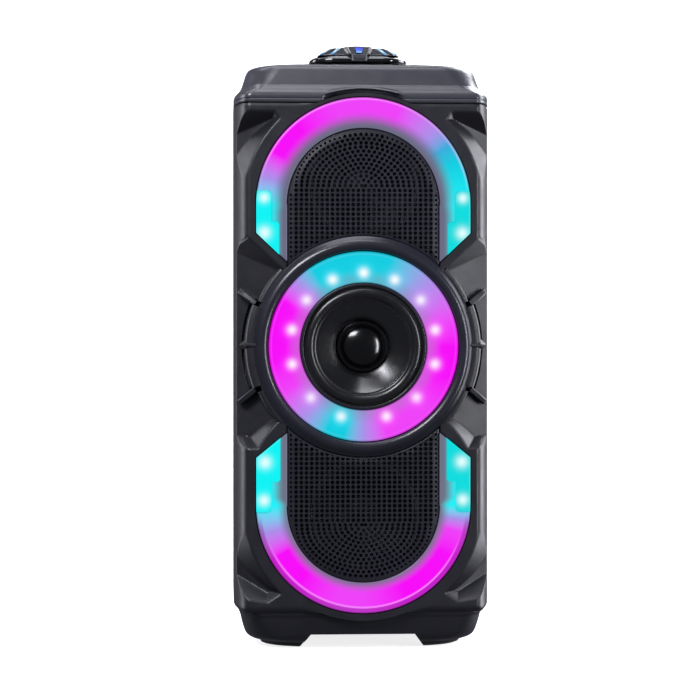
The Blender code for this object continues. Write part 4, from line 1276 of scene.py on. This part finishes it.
def finish_nodes():
    """Gives every CAD node that still shows its material and soft edges."""
    finishes = {name: material for material, names in NODE_FINISHES for name in names}
    for name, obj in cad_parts.items():
        if obj.hide_render:
            continue
        for material_slot in obj.material_slots:
            material_slot.material = finishes[name]
        obj.modifiers.new("weld", "WELD").merge_threshold = 0.01 * MM
        bevel = obj.modifiers.new("edges", "BEVEL")
        bevel.width = 0.3 * MM
        bevel.segments = 2
        bevel.limit_method = "ANGLE"


# ---------------------------------------------------------------- light, floor and camera


def area_light(name, at, towards, size, power):
    data = bpy.data.lights.new(name, "AREA")
    data.shape = "RECTANGLE"
    data.size, data.size_y = size
    data.energy = power
    data.color = (0.93, 0.94, 1.0)
    obj = bpy.data.objects.new(name, data)
    obj.location = at
    obj.rotation_mode = "QUATERNION"
    obj.rotation_quaternion = (Vector(at) - Vector(towards)).to_track_quat("Z", "Y")
    bpy.context.scene.collection.objects.link(obj)


AIM = (0, 0, 0.27)
# Each light in metres: where it is, what it points at, its size and its power
LIGHTS = {
    "overhead": ((-0.1, -0.3, 1.6), AIM, (0.7, 0.5), 6),
    "key": ((-0.78, -1.2, 1.4), (0, 0, 0.4), (0.8, 0.5), 36),
    "right_front": ((1.08, -1.05, 0.3), (0, 0, 0.2), (0.2, 0.9), 15),
    "right_edge": ((1.0, 0.25, 0.35), AIM, (0.6, 1.3), 20),
    "left_edge": ((-1.0, 0.35, 0.35), AIM, (0.3, 1.3), 8),
    "rear_fill": ((0.9, 1.5, 1.5), AIM, (1.0, 0.6), 22),
    "backdrop": ((0, 1.2, 2.6), (0, 2.1, 0.3), (3.0, 0.6), 40),
}


def floor():
    """A pale floor that runs up into a backdrop."""
    n = Nodes("studio_floor")
    n.link(n.ramp(n.noise(3.0), (0.86, 0.86, 0.87), (0.9, 0.9, 0.905)), n.shader.inputs["Base Color"])
    n.shader.inputs["Roughness"].default_value = 0.7
    n.shader.inputs["Emission Color"].default_value = (1.0, 1.0, 1.0, 1.0)
    n.shader.inputs["Emission Strength"].default_value = 0.8
    bend = arc((1400, 700), (700, 700), np.linspace(-90, 0, 13)[1:])
    profile = [(-3000, 0), (1400, 0), *bend, (2100, 3000)]
    points = [(x, y, z) for y, z in profile for x in (-4000, 4000)]
    faces = [(2 * k, 2 * k + 1, 2 * k + 3, 2 * k + 2) for k in range(len(profile) - 1)]
    obj = add_object("studio_floor", points, faces, n.material, angle=60)
    obj.visible_glossy = False
    obj.visible_diffuse = False


def studio():
    """The floor, a pale surround and soft boxes."""
    floor()
    world = bpy.data.worlds.new("studio")
    world.use_nodes = True
    background = world.node_tree.nodes["Background"]
    background.inputs["Color"].default_value = (0.82, 0.85, 1.0, 1.0)
    background.inputs["Strength"].default_value = 0.17
    bpy.context.scene.world = world
    for name, settings in LIGHTS.items():
        area_light(name, *settings)


def camera():
    """A long lens in front, a little to the left, at the object's middle height."""
    data = bpy.data.cameras.new("camera")
    data.lens = 109.5
    data.sensor_width = 36.0
    obj = bpy.data.objects.new("camera", data)
    bpy.context.scene.collection.objects.link(obj)
    azimuth, elevation, distance = math.radians(-3.3), math.radians(0.2), 1.85
    level = math.cos(elevation)
    back = Vector((math.sin(azimuth) * level, -math.cos(azimuth) * level, math.sin(elevation)))
    obj.location = Vector((-0.0057, 0.0, 0.2477)) + back * distance
    obj.rotation_mode = "QUATERNION"
    obj.rotation_quaternion = back.to_track_quat("Z", "Y")
    bpy.context.scene.camera = obj
    bpy.context.scene.view_settings.view_transform = "Standard"


camera()
studio()
front_shell()
baffle()
rear_shell()
rear_screws()
top_cap()
base_plinth()
window_lens(UPPER, "upper")
window_lens(LOWER, "lower")
grille(UPPER, "upper")
grille(LOWER, "lower")
ring_parts()
centre_driver()
woofer_rolls()
console_body()
console_arms()
console_lights()
volume_knob()
finish_nodes()
